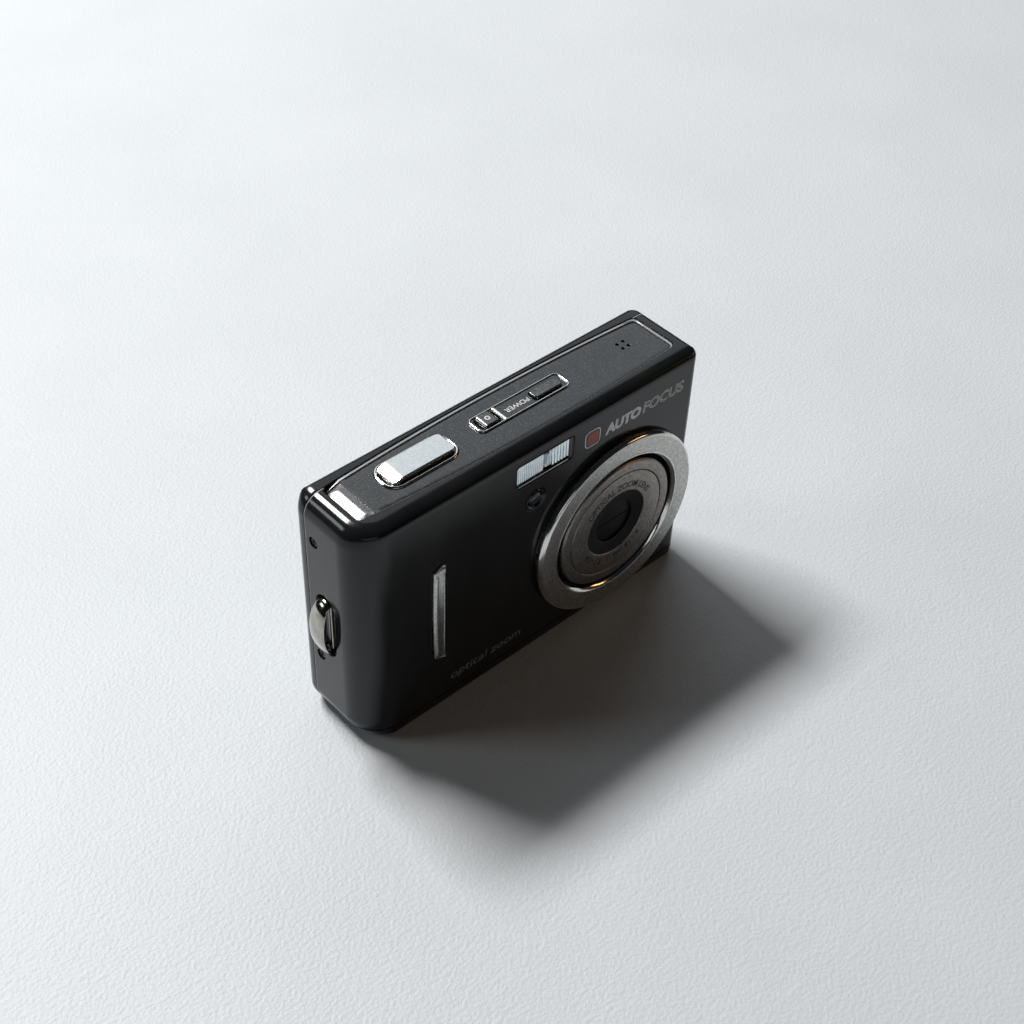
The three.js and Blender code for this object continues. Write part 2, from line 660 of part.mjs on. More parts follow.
function screw(headSegments = 10) {
  const head = rod('z', [0, 0], HEAD_RADIUS, [HEAD_DEPTH, HEAD_DEPTH + HEAD_THICKNESS], headSegments);
  const tip = HEAD_DEPTH + HEAD_THICKNESS + SHANK_LENGTH;
  const shank = rod('z', [0, 0], SHANK_RADIUS, [HEAD_DEPTH + 0.4, tip], 6);
  const slot = box([-0.75, 0.75], [-0.14, 0.14], [0, HEAD_DEPTH + 0.35]);
  const cross = box([-0.14, 0.14], [-0.75, 0.75], [0, HEAD_DEPTH + 0.35]);
  return cutBy(head.add(shank), [slot, cross]);
}

// ---------------------------------------------------------------- doors
function batteryDoor() {
  const slot = box([-27.3, -17.2], [-3.9, -0.5], [-1, 3]);
  return box(DOOR.x, DOOR.y, [0, 1.4]).subtract(slot);
}

function doorLatch() {
  return joined([
    box([-27, -19], [-3.6, -0.8], [0.1, 1.8]),
    box([-28, -18], [-4.6, 0.2], [1.7, 2.2]),
  ]);
}

function usbCover() {
  const panel = slab('x', roundedRect(USB_COVER.y, USB_COVER.z, 0.6), [HALF_WIDTH - 1.4, HALF_WIDTH], 3);
  return panel.subtract(box([HALF_WIDTH - 0.5, HALF_WIDTH + 1], [-3, -2.2], [42, 46]));
}

// ---------------------------------------------------------------- assembly
const casing = new THREE.Group();
camera.add(casing);
add('front_cover', frontCover(), glossBlack, casing);
add('rear_cover', rearCover(), glossBlack, casing);
add('bottom_plate', basePlate(), glossBlack, casing);
add('top_plate', topPlate(), gunmetal, casing);
add('grip_bar', slab('y', barOutline(0), [FRONT - 0.9, FRONT + 0.2], 5), satinSilver, casing);
add('strap_lug', strapLug(), chrome, casing);
const windowSpan = [grown(FLASH.x, -SEAM), grown(FLASH.z, -SEAM)];
add('flash_window', slab('y', roundedRect(...windowSpan, 0.7), [FRONT + 0.1, FRONT + 1.2], 3), glass, casing);
add('af_lamp_window', rod('y', FOCUS_LAMP, FOCUS_LAMP_RADIUS, [FRONT + 0.2, FRONT + 1.4]), darkGlass, casing);
add('lcd_window', slab('y', roundedRect(SCREEN.x, SCREEN.z, 0.8), [8.8, BACK - 0.1], 3), darkGlass, casing);

const controls = new THREE.Group();
camera.add(controls);
add('shutter_bezel', shutterBezel(), chrome, controls);
add('control_bezel', controlBezel(), chrome, controls);
add('shutter_button', topKey(SHUTTER, SHUTTER_ROUND, HEIGHT + SHUTTER_RISE), satinSilver, controls);
add('mode_button', topKey(MODE_KEY, MODE_ROUND, HEIGHT + KEY_RISE), gunmetal, controls);
add('power_button', topKey(POWER_KEY, POWER_ROUND, HEIGHT + KEY_RISE), gunmetal, controls);
add('zoom_rocker', keySolid(ROCKER, FLANGE_REACH), satinSilver, controls);
for (const [name, key] of Object.entries(REAR_KEYS)) {
  add(name, keySolid(key, FLANGE_REACH), satinSilver, controls);
}

const lens = new THREE.Group();
camera.add(lens);
add('lens_ring', lensRing(), satinSilver, lens);
add('lens_housing', lensHousing(), mattBlack, lens);
add('outer_barrel', outerBarrel(), warmSilver, lens);
add('inner_barrel', innerBarrel(), warmSilver, lens);
add('barrier_cone', barrierCone(), mattBlack, lens);
add('shutter_blade_upper', coverBlade(1), mattBlack, lens);
add('shutter_blade_lower', coverBlade(-1), mattBlack, lens);
add('lens_holder', lensHolder(), mattBlack, lens);
add('front_lens', frontLens(), glass, lens);
const sensorX = [LENS_X - 5, LENS_X + 5];
add('image_sensor', box(sensorX, [2.9, 3.9], [LENS_Z - 4.3, LENS_Z + 4.3]), darkGlass, lens);
add('zoom_motor', rod('z', [-2.1, -3.5], 3.3, [14, 34], 20), steel, lens);

const insides = new THREE.Group();
camera.add(insides);
add('chassis', chassis(), steel, insides);
add('main_board', box([-5, 41.5], [4.9, 5.7], [7, 50]), boardGreen, insides);
add('processor_chip', box([4, 18], [5.9, 6.6], [22, 36]), mattBlack, insides);
add('lcd_module', box([-18.5, 40.5], [6.9, 8.4], [8, 52]), steel, insides);
add('key_board', keyBoard(), boardGreen, insides);
add('top_board', topBoard(), boardGreen, insides);
add('battery_case', batteryCase(), mattBlack, insides);
add('battery', box(BATTERY.x, BATTERY.y, BATTERY.z), batteryGrey, insides);
add('battery_contacts', batteryContacts(), mattBlack, insides);
add('card_socket', cardSocket(), steel, insides);
add('memory_card', box(CARD.x, CARD.y, CARD.z), cardBlue, insides);
add('flash_capacitor', rod('x', [-3.8, 51.2], 3.4, [-38, -10], 24), mattBlack, insides);
add('flash_reflector', flashReflector(), chrome, insides);
add('flash_tube', rod('x', [-5.6, 53.15], 0.9, [-6.6, 9.8], 12), glass, insides);
add('tripod_bush', tripodBush(), steel, insides);
add('usb_socket', usbSocket(), steel, insides);
add('speaker', rod('z', SPEAKER_AT, 4, [55.9, 58.1], 20), mattBlack, insides);

const doors = new THREE.Group();
camera.add(doors);
add('battery_door', batteryDoor(), glossBlack, doors);
add('door_latch', doorLatch(), mattBlack, doors);
add('usb_port_cover', usbCover(), mattBlack, doors);

const fasteners = new THREE.Group();
camera.add(fasteners);
for (const [name, [side, y, z]] of Object.entries(SIDE_SCREWS)) {
  const mesh = add(name, screw(), steel, fasteners);
  mesh.position.set(side * HALF_WIDTH, y, z);
  mesh.rotation.y = (-side * Math.PI) / 2;
}
for (const [name, [x, y]] of Object.entries(BASE_SCREWS)) {
  add(name, screw(), steel, fasteners).position.set(x, y, 0);
}

export default camera;
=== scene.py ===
"""A compact digital camera: finished covers, lens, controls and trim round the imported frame."""
import json
import math
from contextlib import contextmanager

import bmesh
import bpy
from mathutils import Matrix, Vector


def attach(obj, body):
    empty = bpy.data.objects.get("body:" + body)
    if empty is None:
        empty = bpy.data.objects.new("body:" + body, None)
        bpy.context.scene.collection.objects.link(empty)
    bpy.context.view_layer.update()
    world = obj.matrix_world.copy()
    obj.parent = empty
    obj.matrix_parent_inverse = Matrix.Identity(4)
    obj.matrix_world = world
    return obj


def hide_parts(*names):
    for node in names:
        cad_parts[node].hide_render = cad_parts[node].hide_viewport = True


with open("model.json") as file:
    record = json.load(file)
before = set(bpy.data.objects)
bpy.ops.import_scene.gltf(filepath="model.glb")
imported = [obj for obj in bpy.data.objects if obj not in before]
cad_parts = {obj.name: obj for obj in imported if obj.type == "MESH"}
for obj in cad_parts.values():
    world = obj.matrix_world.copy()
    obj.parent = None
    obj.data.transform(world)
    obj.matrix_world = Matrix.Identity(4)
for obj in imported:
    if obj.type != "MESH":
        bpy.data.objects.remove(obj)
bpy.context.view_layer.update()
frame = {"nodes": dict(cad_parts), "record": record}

# ---------- sizes, in millimetres as the drawing has them
MM = 0.001
WIDTH, HEIGHT, DEPTH = 91.0, 60.0, 20.0
HALF_WIDTH = WIDTH / 2
FRONT, BACK = -DEPTH / 2, DEPTH / 2
WALL, CLEAR, SEAM = 1.5, 0.3, 0.2
BAND_SINK, BAND_WALL = 0.07, 1.3
REAR_SEAM_Y = 6.5
BASE_SEAM_Z = 2.8

TOP_FILLETS = {"left": (4, 4.5), "right": (2, 2), "front": (3.2, 2.2), "back": (1.8, 1.8)}
BASE_FILLETS = {"left": (6, 6), "right": (2, 2), "front": (0.8, 0.8), "back": (0.8, 0.8)}
CORNERS = (  # X side, Y side, radius along X, radius along Y, start of the arc in half turns
    ("right", "front", 2.0, 2.0, -0.5),
    ("right", "back", 2.5, 2.5, 0.0),
    ("left", "back", 2.5, 2.5, 0.5),
    ("left", "front", 8.0, 7.0, 1.0),
)

PLATE_TOP = HEIGHT - 0.4
PLATE_LEFT, PLATE_RIGHT = -40.9, 41.7
PLATE_BEND_X = -37.0
BEND_SLOPE = 0.27  # fall per millimetre, on the plate's left end and the shutter cap's
PLATE_DROP = 1.1

LENS_X, LENS_Z = 22.7, 24.5
RING_RADIUS, RING_BORE, RING_FRONT = 22.8, 17.3, -11.9
BARREL_FRONT = -11.55
OUTER_BARREL_RADIUS, INNER_BARREL_RADIUS = 16.1, 13.35
LENS_HOLE_RADIUS, LENS_MOUTH_RADIUS, APERTURE_RADIUS = 19.5, 8.3, 5.3
BLADE_REACH, BLADE_RISE, BLADE_GAP = 5.7, 5.6, 0.07
LETTER_RADIUS, LETTER_HALF_HEIGHT = 10.1, 0.8

FLASH_X, FLASH_Z = (-6.3, 9.5), (50.1, 56.2)
FOCUS_LAMP = (-0.5, 44.5)
FOCUS_LAMP_RADIUS = 2.6
LUG_Y, LUG_Z = (-0.8, 3.8), (21.9, 36.5)
LUG_POCKET = ((-1.2, 4.2), (20.9, 37.4), 2.6)  # spans along Y and Z, corner radius
SCREEN_X, SCREEN_Z = (-19.5, 41.3), (7.1, 52.8)
SHUTTER_X, SHUTTER_Y = (-30.4, -14.3), (-1.7, 4.1)
STRIP_X, STRIP_Y = (-7.4, 16.8), (-1.0, 4.0)
MODE_X, MODE_Y = (-6.3, -1.5), (-0.3, 3.3)
POWER_X, POWER_Y = (7.8, 15.0), (-0.1, 2.5)
DOOR_X, DOOR_Y = (-38.6, -7.1), (-6.9, 3.3)
USB_Y, USB_Z = (-3.5, 3.5), (38.0, 50.0)
TRIPOD, BUSH_HOLE_RADIUS = (7.0, 0.0), 4.5
SPEAKER, SPEAKER_PITCH = (34.0, 1.6), 1.7
KEYS_X, PAD_Z, ARROW_REACH = -32.0, 26.0, 7.4
MENU_ROW_Z, MENU_REACH, ROCKER_Z = 41.5, 5.6, 50.4
KEY_FOOT, KEY_RISE, CAP_FOOT = 7.9, 0.27, 57.8
SIDE_SCREWS = ((-1, 4, 50.5), (-1, 4, 18.5), (1, 4, 54.2), (1, 4, 12))
BASE_SCREWS = ((-3.4, -7.2), (41, -6), (41, 3.4))
SCREW_SEAT_RADIUS, SCREW_SEAT_DEPTH = 1.28, 1.35


# ---------- camera, light and table
VIEW_AZIMUTH, VIEW_ELEVATION, VIEW_ROLL = -43.66, 43.86, 2.41  # degrees
VIEW_TARGET, VIEW_DISTANCE, VIEW_SHIFT = Vector((0, 0, HEIGHT / 2)), 349.7, (1.9, 2.4)
FOCAL_LENGTH, SENSOR_WIDTH = 58.32, 36.0
LIGHT_TARGET = Vector((0, 0, 0.03))
LIGHTS = {  # direction, distance and size in metres, power in watts, colour
    "key_window": ((-0.085, 0.59, 0.8), 1.25, (0.42, 0.2), 17.0, (1.0, 0.985, 0.965)),
    "left_window": ((-0.67, 0.52, 0.5), 1.4, (0.34, 0.3), 2.0, (0.9, 0.96, 1.0)),
    "wide_sky": ((0.5, 0.6, 0.62), 1.6, (1.3, 0.8), 3.5, (0.86, 0.94, 1.0)),
    "low_left": ((-0.5, -0.82, 0.25), 1.5, (1.0, 0.3), 0.75, (0.95, 0.98, 1.0)),
    "warm_lamp": ((0.77, -0.54, 0.335), 1.2, (0.46, 0.12), 0.66, (1.0, 0.55, 0.22)),
}
ROOM_COLOUR, ROOM_STRENGTH = (0.62, 0.68, 0.74, 1), 0.016
TABLE_REACH = 2.5


def added(name, data):
    """Puts a new object in the scene."""
    obj = bpy.data.objects.new(name, data)
    bpy.context.scene.collection.objects.link(obj)
    return obj


def vector_from(azimuth, elevation):
    a, e = math.radians(azimuth), math.radians(elevation)
    return Vector((math.sin(a) * math.cos(e), -math.cos(a) * math.cos(e), math.sin(e)))


def make_camera():
    data = bpy.data.cameras.new("view_camera")
    data.sensor_width = SENSOR_WIDTH
    data.lens = FOCAL_LENGTH
    camera = added("view_camera", data)
    back = vector_from(VIEW_AZIMUTH, VIEW_ELEVATION)
    across = Vector((0, 0, 1)).cross(back).normalized()
    up = back.cross(across)
    roll = math.radians(VIEW_ROLL)
    right = across * math.cos(roll) + up * math.sin(roll)
    top = up * math.cos(roll) - across * math.sin(roll)
    place = VIEW_TARGET + back * VIEW_DISTANCE + right * VIEW_SHIFT[0] + top * VIEW_SHIFT[1]
    camera.matrix_world = Matrix((right, top, back)).transposed().to_4x4()
    camera.location = place * MM
    bpy.context.scene.camera = camera


def make_lights():
    for name, (direction, distance, size, power, colour) in LIGHTS.items():
        data = bpy.data.lights.new(name, "AREA")
        data.shape = "RECTANGLE"
        data.size, data.size_y = size
        data.energy = power
        data.color = colour
        lamp = added(name, data)
        way = Vector(direction).normalized()
        lamp.location = LIGHT_TARGET + way * distance
        lamp.rotation_mode = "QUATERNION"
        lamp.rotation_quaternion = (-way).to_track_quat("-Z", "Y")
    world = bpy.data.worlds.new("room")
    world.use_nodes = True
    backdrop = world.node_tree.nodes["Background"]
    backdrop.inputs["Color"].default_value = ROOM_COLOUR
    backdrop.inputs["Strength"].default_value = ROOM_STRENGTH
    bpy.context.scene.world = world
    bpy.context.scene.view_settings.view_transform = "Standard"


def make_table():
    """The pale table top, with fine grain and slow changes of tone."""
    corners = [(x * TABLE_REACH, y * TABLE_REACH, 0) for x, y in ((-1, -1), (1, -1), (1, 1), (-1, 1))]
    ground = new_object("table_top", corners, [(0, 1, 2, 3)])
    surface = Finish("pale_table", (0.715, 0.75, 0.785), 0.5)
    surface.blend(surface.patches(60, 3, 0.3, 0.7), (0.692, 0.728, 0.762), (0.732, 0.768, 0.802))
    surface.bump(surface.noise(0.8, 3), 0.24, 0.6)
    surface.bump(surface.noise(2.2, 2), 0.12, 0.5)
    ground.data.materials.append(surface.material)


# ---------- mesh tools
@contextmanager
def edited(mesh):
    """Opens a mesh for editing and writes it back."""
    made = bmesh.new()
    made.from_mesh(mesh)
    yield made
    made.to_mesh(mesh)
    made.free()


def cut_across(made, x):
    """Adds an edge to every face that crosses a place along X."""
    whole = made.verts[:] + made.edges[:] + made.faces[:]
    bmesh.ops.bisect_plane(made, geom=whole, plane_co=(x, 0, 0), plane_no=(1, 0, 0), dist=1e-5)


def new_object(name, vertices, faces):
    """A mesh whose doubles are merged and whose faces point outwards."""
    mesh = bpy.data.meshes.new(name)
    mesh.from_pydata([tuple(v) for v in vertices], [], faces)
    with edited(mesh) as made:
        bmesh.ops.remove_doubles(made, verts=made.verts, dist=1e-4)
        bmesh.ops.recalc_face_normals(made, faces=made.faces)
    return added(name, mesh)


def bake(obj):
    """Replaces the object's mesh by what its modifiers make of it."""
    graph = bpy.context.evaluated_depsgraph_get()
    mesh = bpy.data.meshes.new_from_object(obj.evaluated_get(graph), depsgraph=graph)
    obj.modifiers.clear()
    obj.data = mesh
    return obj


def cut_out(obj, tools):
    """Cuts the tools out of the object, and removes them."""
    for tool in tools:
        modifier = obj.modifiers.new("cut", "BOOLEAN")
        modifier.operation = "DIFFERENCE"
        modifier.object = tool
        modifier.solver = "EXACT"
    bake(obj)
    for tool in tools:
        bpy.data.objects.remove(tool)
    return obj


def loft(name, rings, closed=False):
    """Joins rings of equal length. The ends are capped, or joined to each other when closed."""
    count = len(rings[0])
    vertices = [tuple(p) for ring in rings for p in ring]
    faces = []
    levels = len(rings)
    for level in range(levels if closed else levels - 1):
        low, high = level * count, ((level + 1) % levels) * count
        for i in range(count):
            j = (i + 1) % count
            faces.append((low + i, low + j, high + j, high + i))
    if not closed:
        faces.append(tuple(range(count)))
        faces.append(tuple(range((levels - 1) * count, levels * count)))
    return new_object(name, vertices, faces)


def rounded_outline(span_u, span_v, radius, grow, steps):
    """A rounded rectangle grown on every side, as points that run anticlockwise."""
    u0, u1 = span_u[0] - grow, span_u[1] + grow
    v0, v1 = span_v[0] - grow, span_v[1] + grow
    radius = min(max(radius + grow, 0.02), (u1 - u0) / 2 - 0.001, (v1 - v0) / 2 - 0.001)
    centres = ((u1 - radius, v0 + radius, -0.5), (u1 - radius, v1 - radius, 0.0),
               (u0 + radius, v1 - radius, 0.5), (u0 + radius, v0 + radius, 1.0))
    points = []
    for u, v, start in centres:
        for step in range(steps + 1):
            angle = math.pi * (start + 0.5 * step / steps)
            points.append((u + radius * math.cos(angle), v + radius * math.sin(angle)))
    return points


def placed(axis, outline, level):
    """Puts a flat outline at a level along an axis: X,Z for y, Y,Z for x and X,Y for z."""
    if axis == "y":
        return [(u, level, v) for u, v in outline]
    if axis == "x":
        return [(level, u, v) for u, v in outline]
    return [(u, v, level) for u, v in outline]


def spans(centre, half_u, half_v):
    """The two spans of a rectangle about its centre."""
    return (centre[0] - half_u, centre[0] + half_u), (centre[1] - half_v, centre[1] + half_v)


def rounded_rings(axis, span_u, span_v, radius, layers, steps):
    """Rounded rectangles through (outward growth, level) layers."""
    return [placed(axis, rounded_outline(span_u, span_v, radius, grow, steps), level)
            for grow, level in layers]


def pill(name, axis, span_u, span_v, radius, layers, steps=8):
    """A rounded rectangle lofted through its layers."""
    return loft(name, rounded_rings(axis, span_u, span_v, radius, layers, steps))


def frame_ring(name, axis, span_u, span_v, radius, section, steps=8):
    """A closed section swept round a rounded rectangle."""
    return loft(name, rounded_rings(axis, span_u, span_v, radius, section, steps), closed=True)


def rounding(radius, steps):
    """Pairs (out, up) along a quarter round, from (0, 0) to (radius, radius)."""
    turns = [0.5 * math.pi * k / steps for k in range(steps + 1)]
    return [(radius * (1 - math.cos(t)), radius * math.sin(t)) for t in turns]


def mouth_layers(depth, surface, lip, outward=1, grow=0.0):
    """Layers of a cutter whose mouth flares by a rounded lip where it meets the surface."""
    start = surface - outward * lip
    flare = [(grow + out, start + outward * up) for out, up in rounding(lip, 3)]
    return [(grow, depth), *flare, (grow + lip, surface + outward * 1.0)]


def circle(centre, radius, count):
    turns = [2 * math.pi * k / count for k in range(count)]
    return [(centre[0] + radius * math.cos(t), centre[1] + radius * math.sin(t)) for t in turns]


def disc(name, axis, centre, layers, count=48):
    """Circles lofted through (radius, level) layers."""
    return loft(name, [placed(axis, circle(centre, radius, count), level) for radius, level in layers])


def turn(name, profile, count):
    """A closed profile of (radius, y) points turned about the lens axis."""
    rings = [placed("y", circle((LENS_X, LENS_Z), max(radius, 1e-5), count), y) for radius, y in profile]
    return loft(name, rings, closed=True)


def softened(profile, radius):
    """Rounds every corner of a closed profile with three short steps."""
    points = [Vector(p) for p in profile]
    made = []
    for i, corner in enumerate(points):
        before, after = points[i - 1] - corner, points[(i + 1) % len(points)] - corner
        reach = min(radius, before.length * 0.4, after.length * 0.4)
        start, end = corner + before.normalized() * reach, corner + after.normalized() * reach
        for t in (0, 0.33, 0.67, 1):
            made.append(tuple((1 - t) ** 2 * start + 2 * t * (1 - t) * corner + t * t * end))
    return made


def shade(obj, angle, weighted=False):
    """Smooth shading, crisp at edges sharper than the angle; weighted normals keep broad faces flat."""
    for polygon in obj.data.polygons:
        polygon.use_smooth = True
    obj.data.set_sharp_from_angle(angle=math.radians(angle))
    if weighted:
        modifier = obj.modifiers.new("normals", "WEIGHTED_NORMAL")
        modifier.keep_sharp = True
        bake(obj)


def piece(obj, material, body="root", stands_for=(), angle=40, weighted=False):
    """Finishes one piece: metres, material, shading, body and the nodes that it stands for."""
    obj.data.transform(Matrix.Scale(MM, 4))
    obj.data.materials.clear()
    obj.data.materials.append(material)
    obj.data.polygons.foreach_set("material_index", [0] * len(obj.data.polygons))
    shade(obj, angle, weighted)
    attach(obj, body)
    if stands_for:
        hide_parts(*stands_for)


def boxy_piece(obj, material, body="root", stands_for=(), angle=32):
    """A piece whose broad faces stay flat up to their rounded edges."""
    piece(obj, material, body, stands_for, angle, True)


def printed(obj, ink, body="root"):
    """Lettering or another flat mark."""
    piece(obj, ink, body, angle=30)


def in_place(obj, mapping):
    """Moves every vertex by a mapping of its three coordinates, and turns the faces outwards again."""
    with edited(obj.data) as made:
        for vertex in made.verts:
            vertex.co = mapping(*vertex.co)
        bmesh.ops.recalc_face_normals(made, faces=made.faces)
    return obj


def on_front(u, v, w):
    return u, FRONT - w, v


def on_keys(u, v, w):
    """Marks on the rear keys, which read from behind."""
    return -u, BACK + KEY_RISE - 0.06 + w, v


def on_top(level, centre):
    """Letters that read from behind."""
    return lambda u, v, w: (centre[0] - u, centre[1] - v, level + w)


def round_lens(radius, level, start):
    """Letters that run clockwise round the lens, their tops outwards, from start in degrees past the top."""
    def mapping(u, v, w):
        turn_by = math.radians(start) + u / radius
        reach = radius + v
        return (LENS_X + reach * math.sin(turn_by), level - w, LENS_Z + reach * math.cos(turn_by))
    return mapping


def letters(name, text, low, high, mapping, bold=0.0, hollow=0.0, slant=0.0, thickness=0.05):
    """Lettering stretched to fill the box from low to high, then put in its place by the mapping."""
    curve = bpy.data.curves.new(name, "FONT")
    curve.body = text
    curve.shear = slant
    curve.resolution_u = 6
    if hollow:
        curve.fill_mode = "NONE"
        curve.bevel_depth = hollow
        curve.bevel_resolution = 0
    else:
        curve.offset = bold
        curve.extrude = 0.5
    shape = added(name, curve)
    graph = bpy.context.evaluated_depsgraph_get()
    mesh = bpy.data.meshes.new_from_object(shape.evaluated_get(graph), depsgraph=graph)
    bpy.data.objects.remove(shape)
    obj = added(name, mesh)
    corners = [[f(v.co[k] for v in mesh.vertices) for k in range(3)] for f in (min, max)]
    size = [max(b - a, 1e-6) for a, b in zip(*corners)]

    def fit(x, y, z):
        u = low[0] + (x - corners[0][0]) / size[0] * (high[0] - low[0])
        v = low[1] + (y - corners[0][1]) / size[1] * (high[1] - low[1])
        w = -0.02 + (z - corners[0][2]) / size[2] * thickness
        return mapping(u, v, w)
    return in_place(obj, fit)


def prism(name, points, mapping, thickness=0.05):
    """A flat printed or cut shape from its outline."""
    rings = [[(u, v, w) for u, v in points] for w in (-0.02, thickness - 0.02)]
    return in_place(loft(name, rings), mapping)


class Recipe:
    """A Geometry Nodes tree whose sizes are named inputs."""

    def __init__(self, name, sizes):
        self.tree = bpy.data.node_groups.new(name, "GeometryNodeTree")
        face = self.tree.interface
        face.new_socket("Geometry", in_out="INPUT", socket_type="NodeSocketGeometry")
        face.new_socket("Geometry", in_out="OUTPUT", socket_type="NodeSocketGeometry")
        self.values = {}
        for label, value in sizes.items():
            kind = "NodeSocketInt" if isinstance(value, int) else "NodeSocketFloat"
            socket = face.new_socket(label, in_out="INPUT", socket_type=kind)
            self.values[socket.identifier] = value
        self.start = self.tree.nodes.new("NodeGroupInput")

    def node(self, kind, **settings):
        made = self.tree.nodes.new(kind)
        for name, value in settings.items():
            setattr(made, name, value)
        return made

    def wire(self, output, target):
        self.tree.links.new(output, target)

    def close(self, geometry, material):
        """Ends the tree: real geometry with its material."""
        real = self.node("GeometryNodeRealizeInstances")
        coat = self.node("GeometryNodeSetMaterial")
        end = self.node("NodeGroupOutput")
        coat.inputs["Material"].default_value = material
        self.wire(geometry, real.inputs["Geometry"])
        self.wire(real.outputs["Geometry"], coat.inputs["Geometry"])
        self.wire(coat.outputs["Geometry"], end.inputs["Geometry"])

    def run(self, obj):
        modifier = obj.modifiers.new(self.tree.name, "NODES")
        modifier.node_group = self.tree
        for identifier, value in self.values.items():
            modifier[identifier] = value
        return bake(obj)


def array_of(shape, counts, pitch, material, spread="XZ"):
    """Copies one shape over a flat grid of points, counts wide and pitch apart."""
    recipe = Recipe("grid_of_copies", {
        "Count across": counts[0], "Count up": counts[1], "Width": pitch[0] * (counts[0] - 1),
        "Height": pitch[1] * (counts[1] - 1),
    })
    grid = recipe.node("GeometryNodeMeshGrid")
    for label, target in (("Count across", "Vertices X"), ("Count up", "Vertices Y"), ("Width", "Size X"),
                          ("Height", "Size Y")):
        recipe.wire(recipe.start.outputs[label], grid.inputs[target])
    turned = recipe.node("GeometryNodeTransform")
    turned.inputs["Rotation"].default_value = (math.pi / 2 if spread == "XZ" else 0, 0, 0)
    recipe.wire(grid.outputs["Mesh"], turned.inputs["Geometry"])
    copies = recipe.node("GeometryNodeInstanceOnPoints")
    recipe.wire(turned.outputs["Geometry"], copies.inputs["Points"])
    recipe.wire(recipe.start.outputs["Geometry"], copies.inputs["Instance"])
    recipe.close(copies.outputs["Instances"], material)
    return recipe.run(shape)


def moved(obj, x, y, z):
    """Moves the mesh and leaves the object at the origin."""
    obj.data.transform(Matrix.Translation((x, y, z)))
    return obj


# ---------- materials
class Finish:
    """A procedural material: one shader, with patterns in the piece's own coordinates."""

    def __init__(self, name, colour, roughness, metallic=0.0):
        self.material = bpy.data.materials.new(name)
        self.material.use_nodes = True
        self.tree = self.material.node_tree
        self.shader = self.tree.nodes["Principled BSDF"]
        self.set("Base Color", (*colour, 1))
        self.set("Roughness", roughness)
        self.set("Metallic", metallic)
        self.place = self.tree.nodes.new("ShaderNodeTexCoord").outputs["Object"]
        self.height = None

    def set(self, name, value):
        self.shader.inputs[name].default_value = value

    def link(self, output, target):
        self.tree.links.new(output, target)

    def node(self, kind, inputs, **settings):
        """One node, whose inputs are plain values or the outputs of other nodes."""
        made = self.tree.nodes.new(kind)
        for name, value in settings.items():
            setattr(made, name, value)
        for socket, value in inputs.items():
            if isinstance(value, bpy.types.NodeSocket):
                self.link(value, made.inputs[socket])
            else:
                made.inputs[socket].default_value = value
        return made

    def noise(self, size_mm, detail, stretch=None):
        """Noise whose blotches are about size_mm across."""
        source = self.place
        if stretch:
            source = self.node("ShaderNodeMapping", {"Scale": stretch, "Vector": source}).outputs["Vector"]
        inputs = {"Scale": 1 / (size_mm * MM), "Detail": detail, "Vector": source}
        return self.node("ShaderNodeTexNoise", inputs).outputs["Fac"]

    def grains(self, size_mm):
        inputs = {"Scale": 1 / (size_mm * MM), "Vector": self.place}
        return self.node("ShaderNodeTexVoronoi", inputs).outputs["Distance"]

    def ranged(self, value, low, high, to_low=0.0, to_high=1.0):
        inputs = {"From Min": low, "From Max": high, "To Min": to_low, "To Max": to_high, "Value": value}
        return self.node("ShaderNodeMapRange", inputs).outputs["Result"]

    def patches(self, size_mm, detail, low, high, to_low=0.0, to_high=1.0, stretch=None):
        """Noise from low to high, mapped to another range."""
        return self.ranged(self.noise(size_mm, detail, stretch), low, high, to_low, to_high)

    def calc(self, operation, *values):
        return self.node("ShaderNodeMath", dict(enumerate(values)), operation=operation).outputs[0]

    def blend(self, value, dark, light):
        """Base colour that runs from dark to light as value goes from 0 to 1."""
        inputs = {"A": (*dark, 1), "B": (*light, 1), "Factor": value}
        mix = self.node("ShaderNodeMix", inputs, data_type="RGBA")
        self.link(mix.outputs["Result"], self.shader.inputs["Base Color"])

    def rough(self, value):
        self.link(value, self.shader.inputs["Roughness"])

    def bump(self, value, height_mm, strength):
        inputs = {"Strength": strength, "Distance": height_mm * MM, "Height": value}
        if self.height:
            inputs["Normal"] = self.height
        self.height = self.node("ShaderNodeBump", inputs).outputs["Normal"]
        self.link(self.height, self.shader.inputs["Normal"])


def moulded_black(name, low, high, grain_mm=0.9, ior=1.4):
    """Black plastic with faint mottling and fine wiped haze."""
    finish = Finish(name, (0.012, 0.0125, 0.0135), low)
    finish.blend(finish.patches(14, 3, 0.35, 0.65), (0.0095, 0.0105, 0.0115), (0.014, 0.0145, 0.0155))
    finish.rough(finish.patches(6, 4, 0.3, 0.7, low, high, (1, 1, 0.35)))
    finish.bump(finish.noise(grain_mm, 2), 0.0022, 0.35)
    finish.set("IOR", ior)
    return finish.material


def satin_metal(name, dark, light, low, high, grain_mm, relief_mm, metallic=1.0):
    """Blasted or anodised metal: grain in tone and relief, with slow changes of sheen."""
    finish = Finish(name, light, low, metallic)
    finish.blend(finish.patches(grain_mm * 3, 4, 0.36, 0.64), dark, light)
    finish.rough(finish.patches(2.4, 3, 0.3, 0.7, low, high))
    finish.bump(finish.noise(grain_mm, 3), relief_mm, 0.5)
    finish.bump(finish.noise(grain_mm * 2.5, 2), relief_mm * 2, 0.5)
    return finish.material


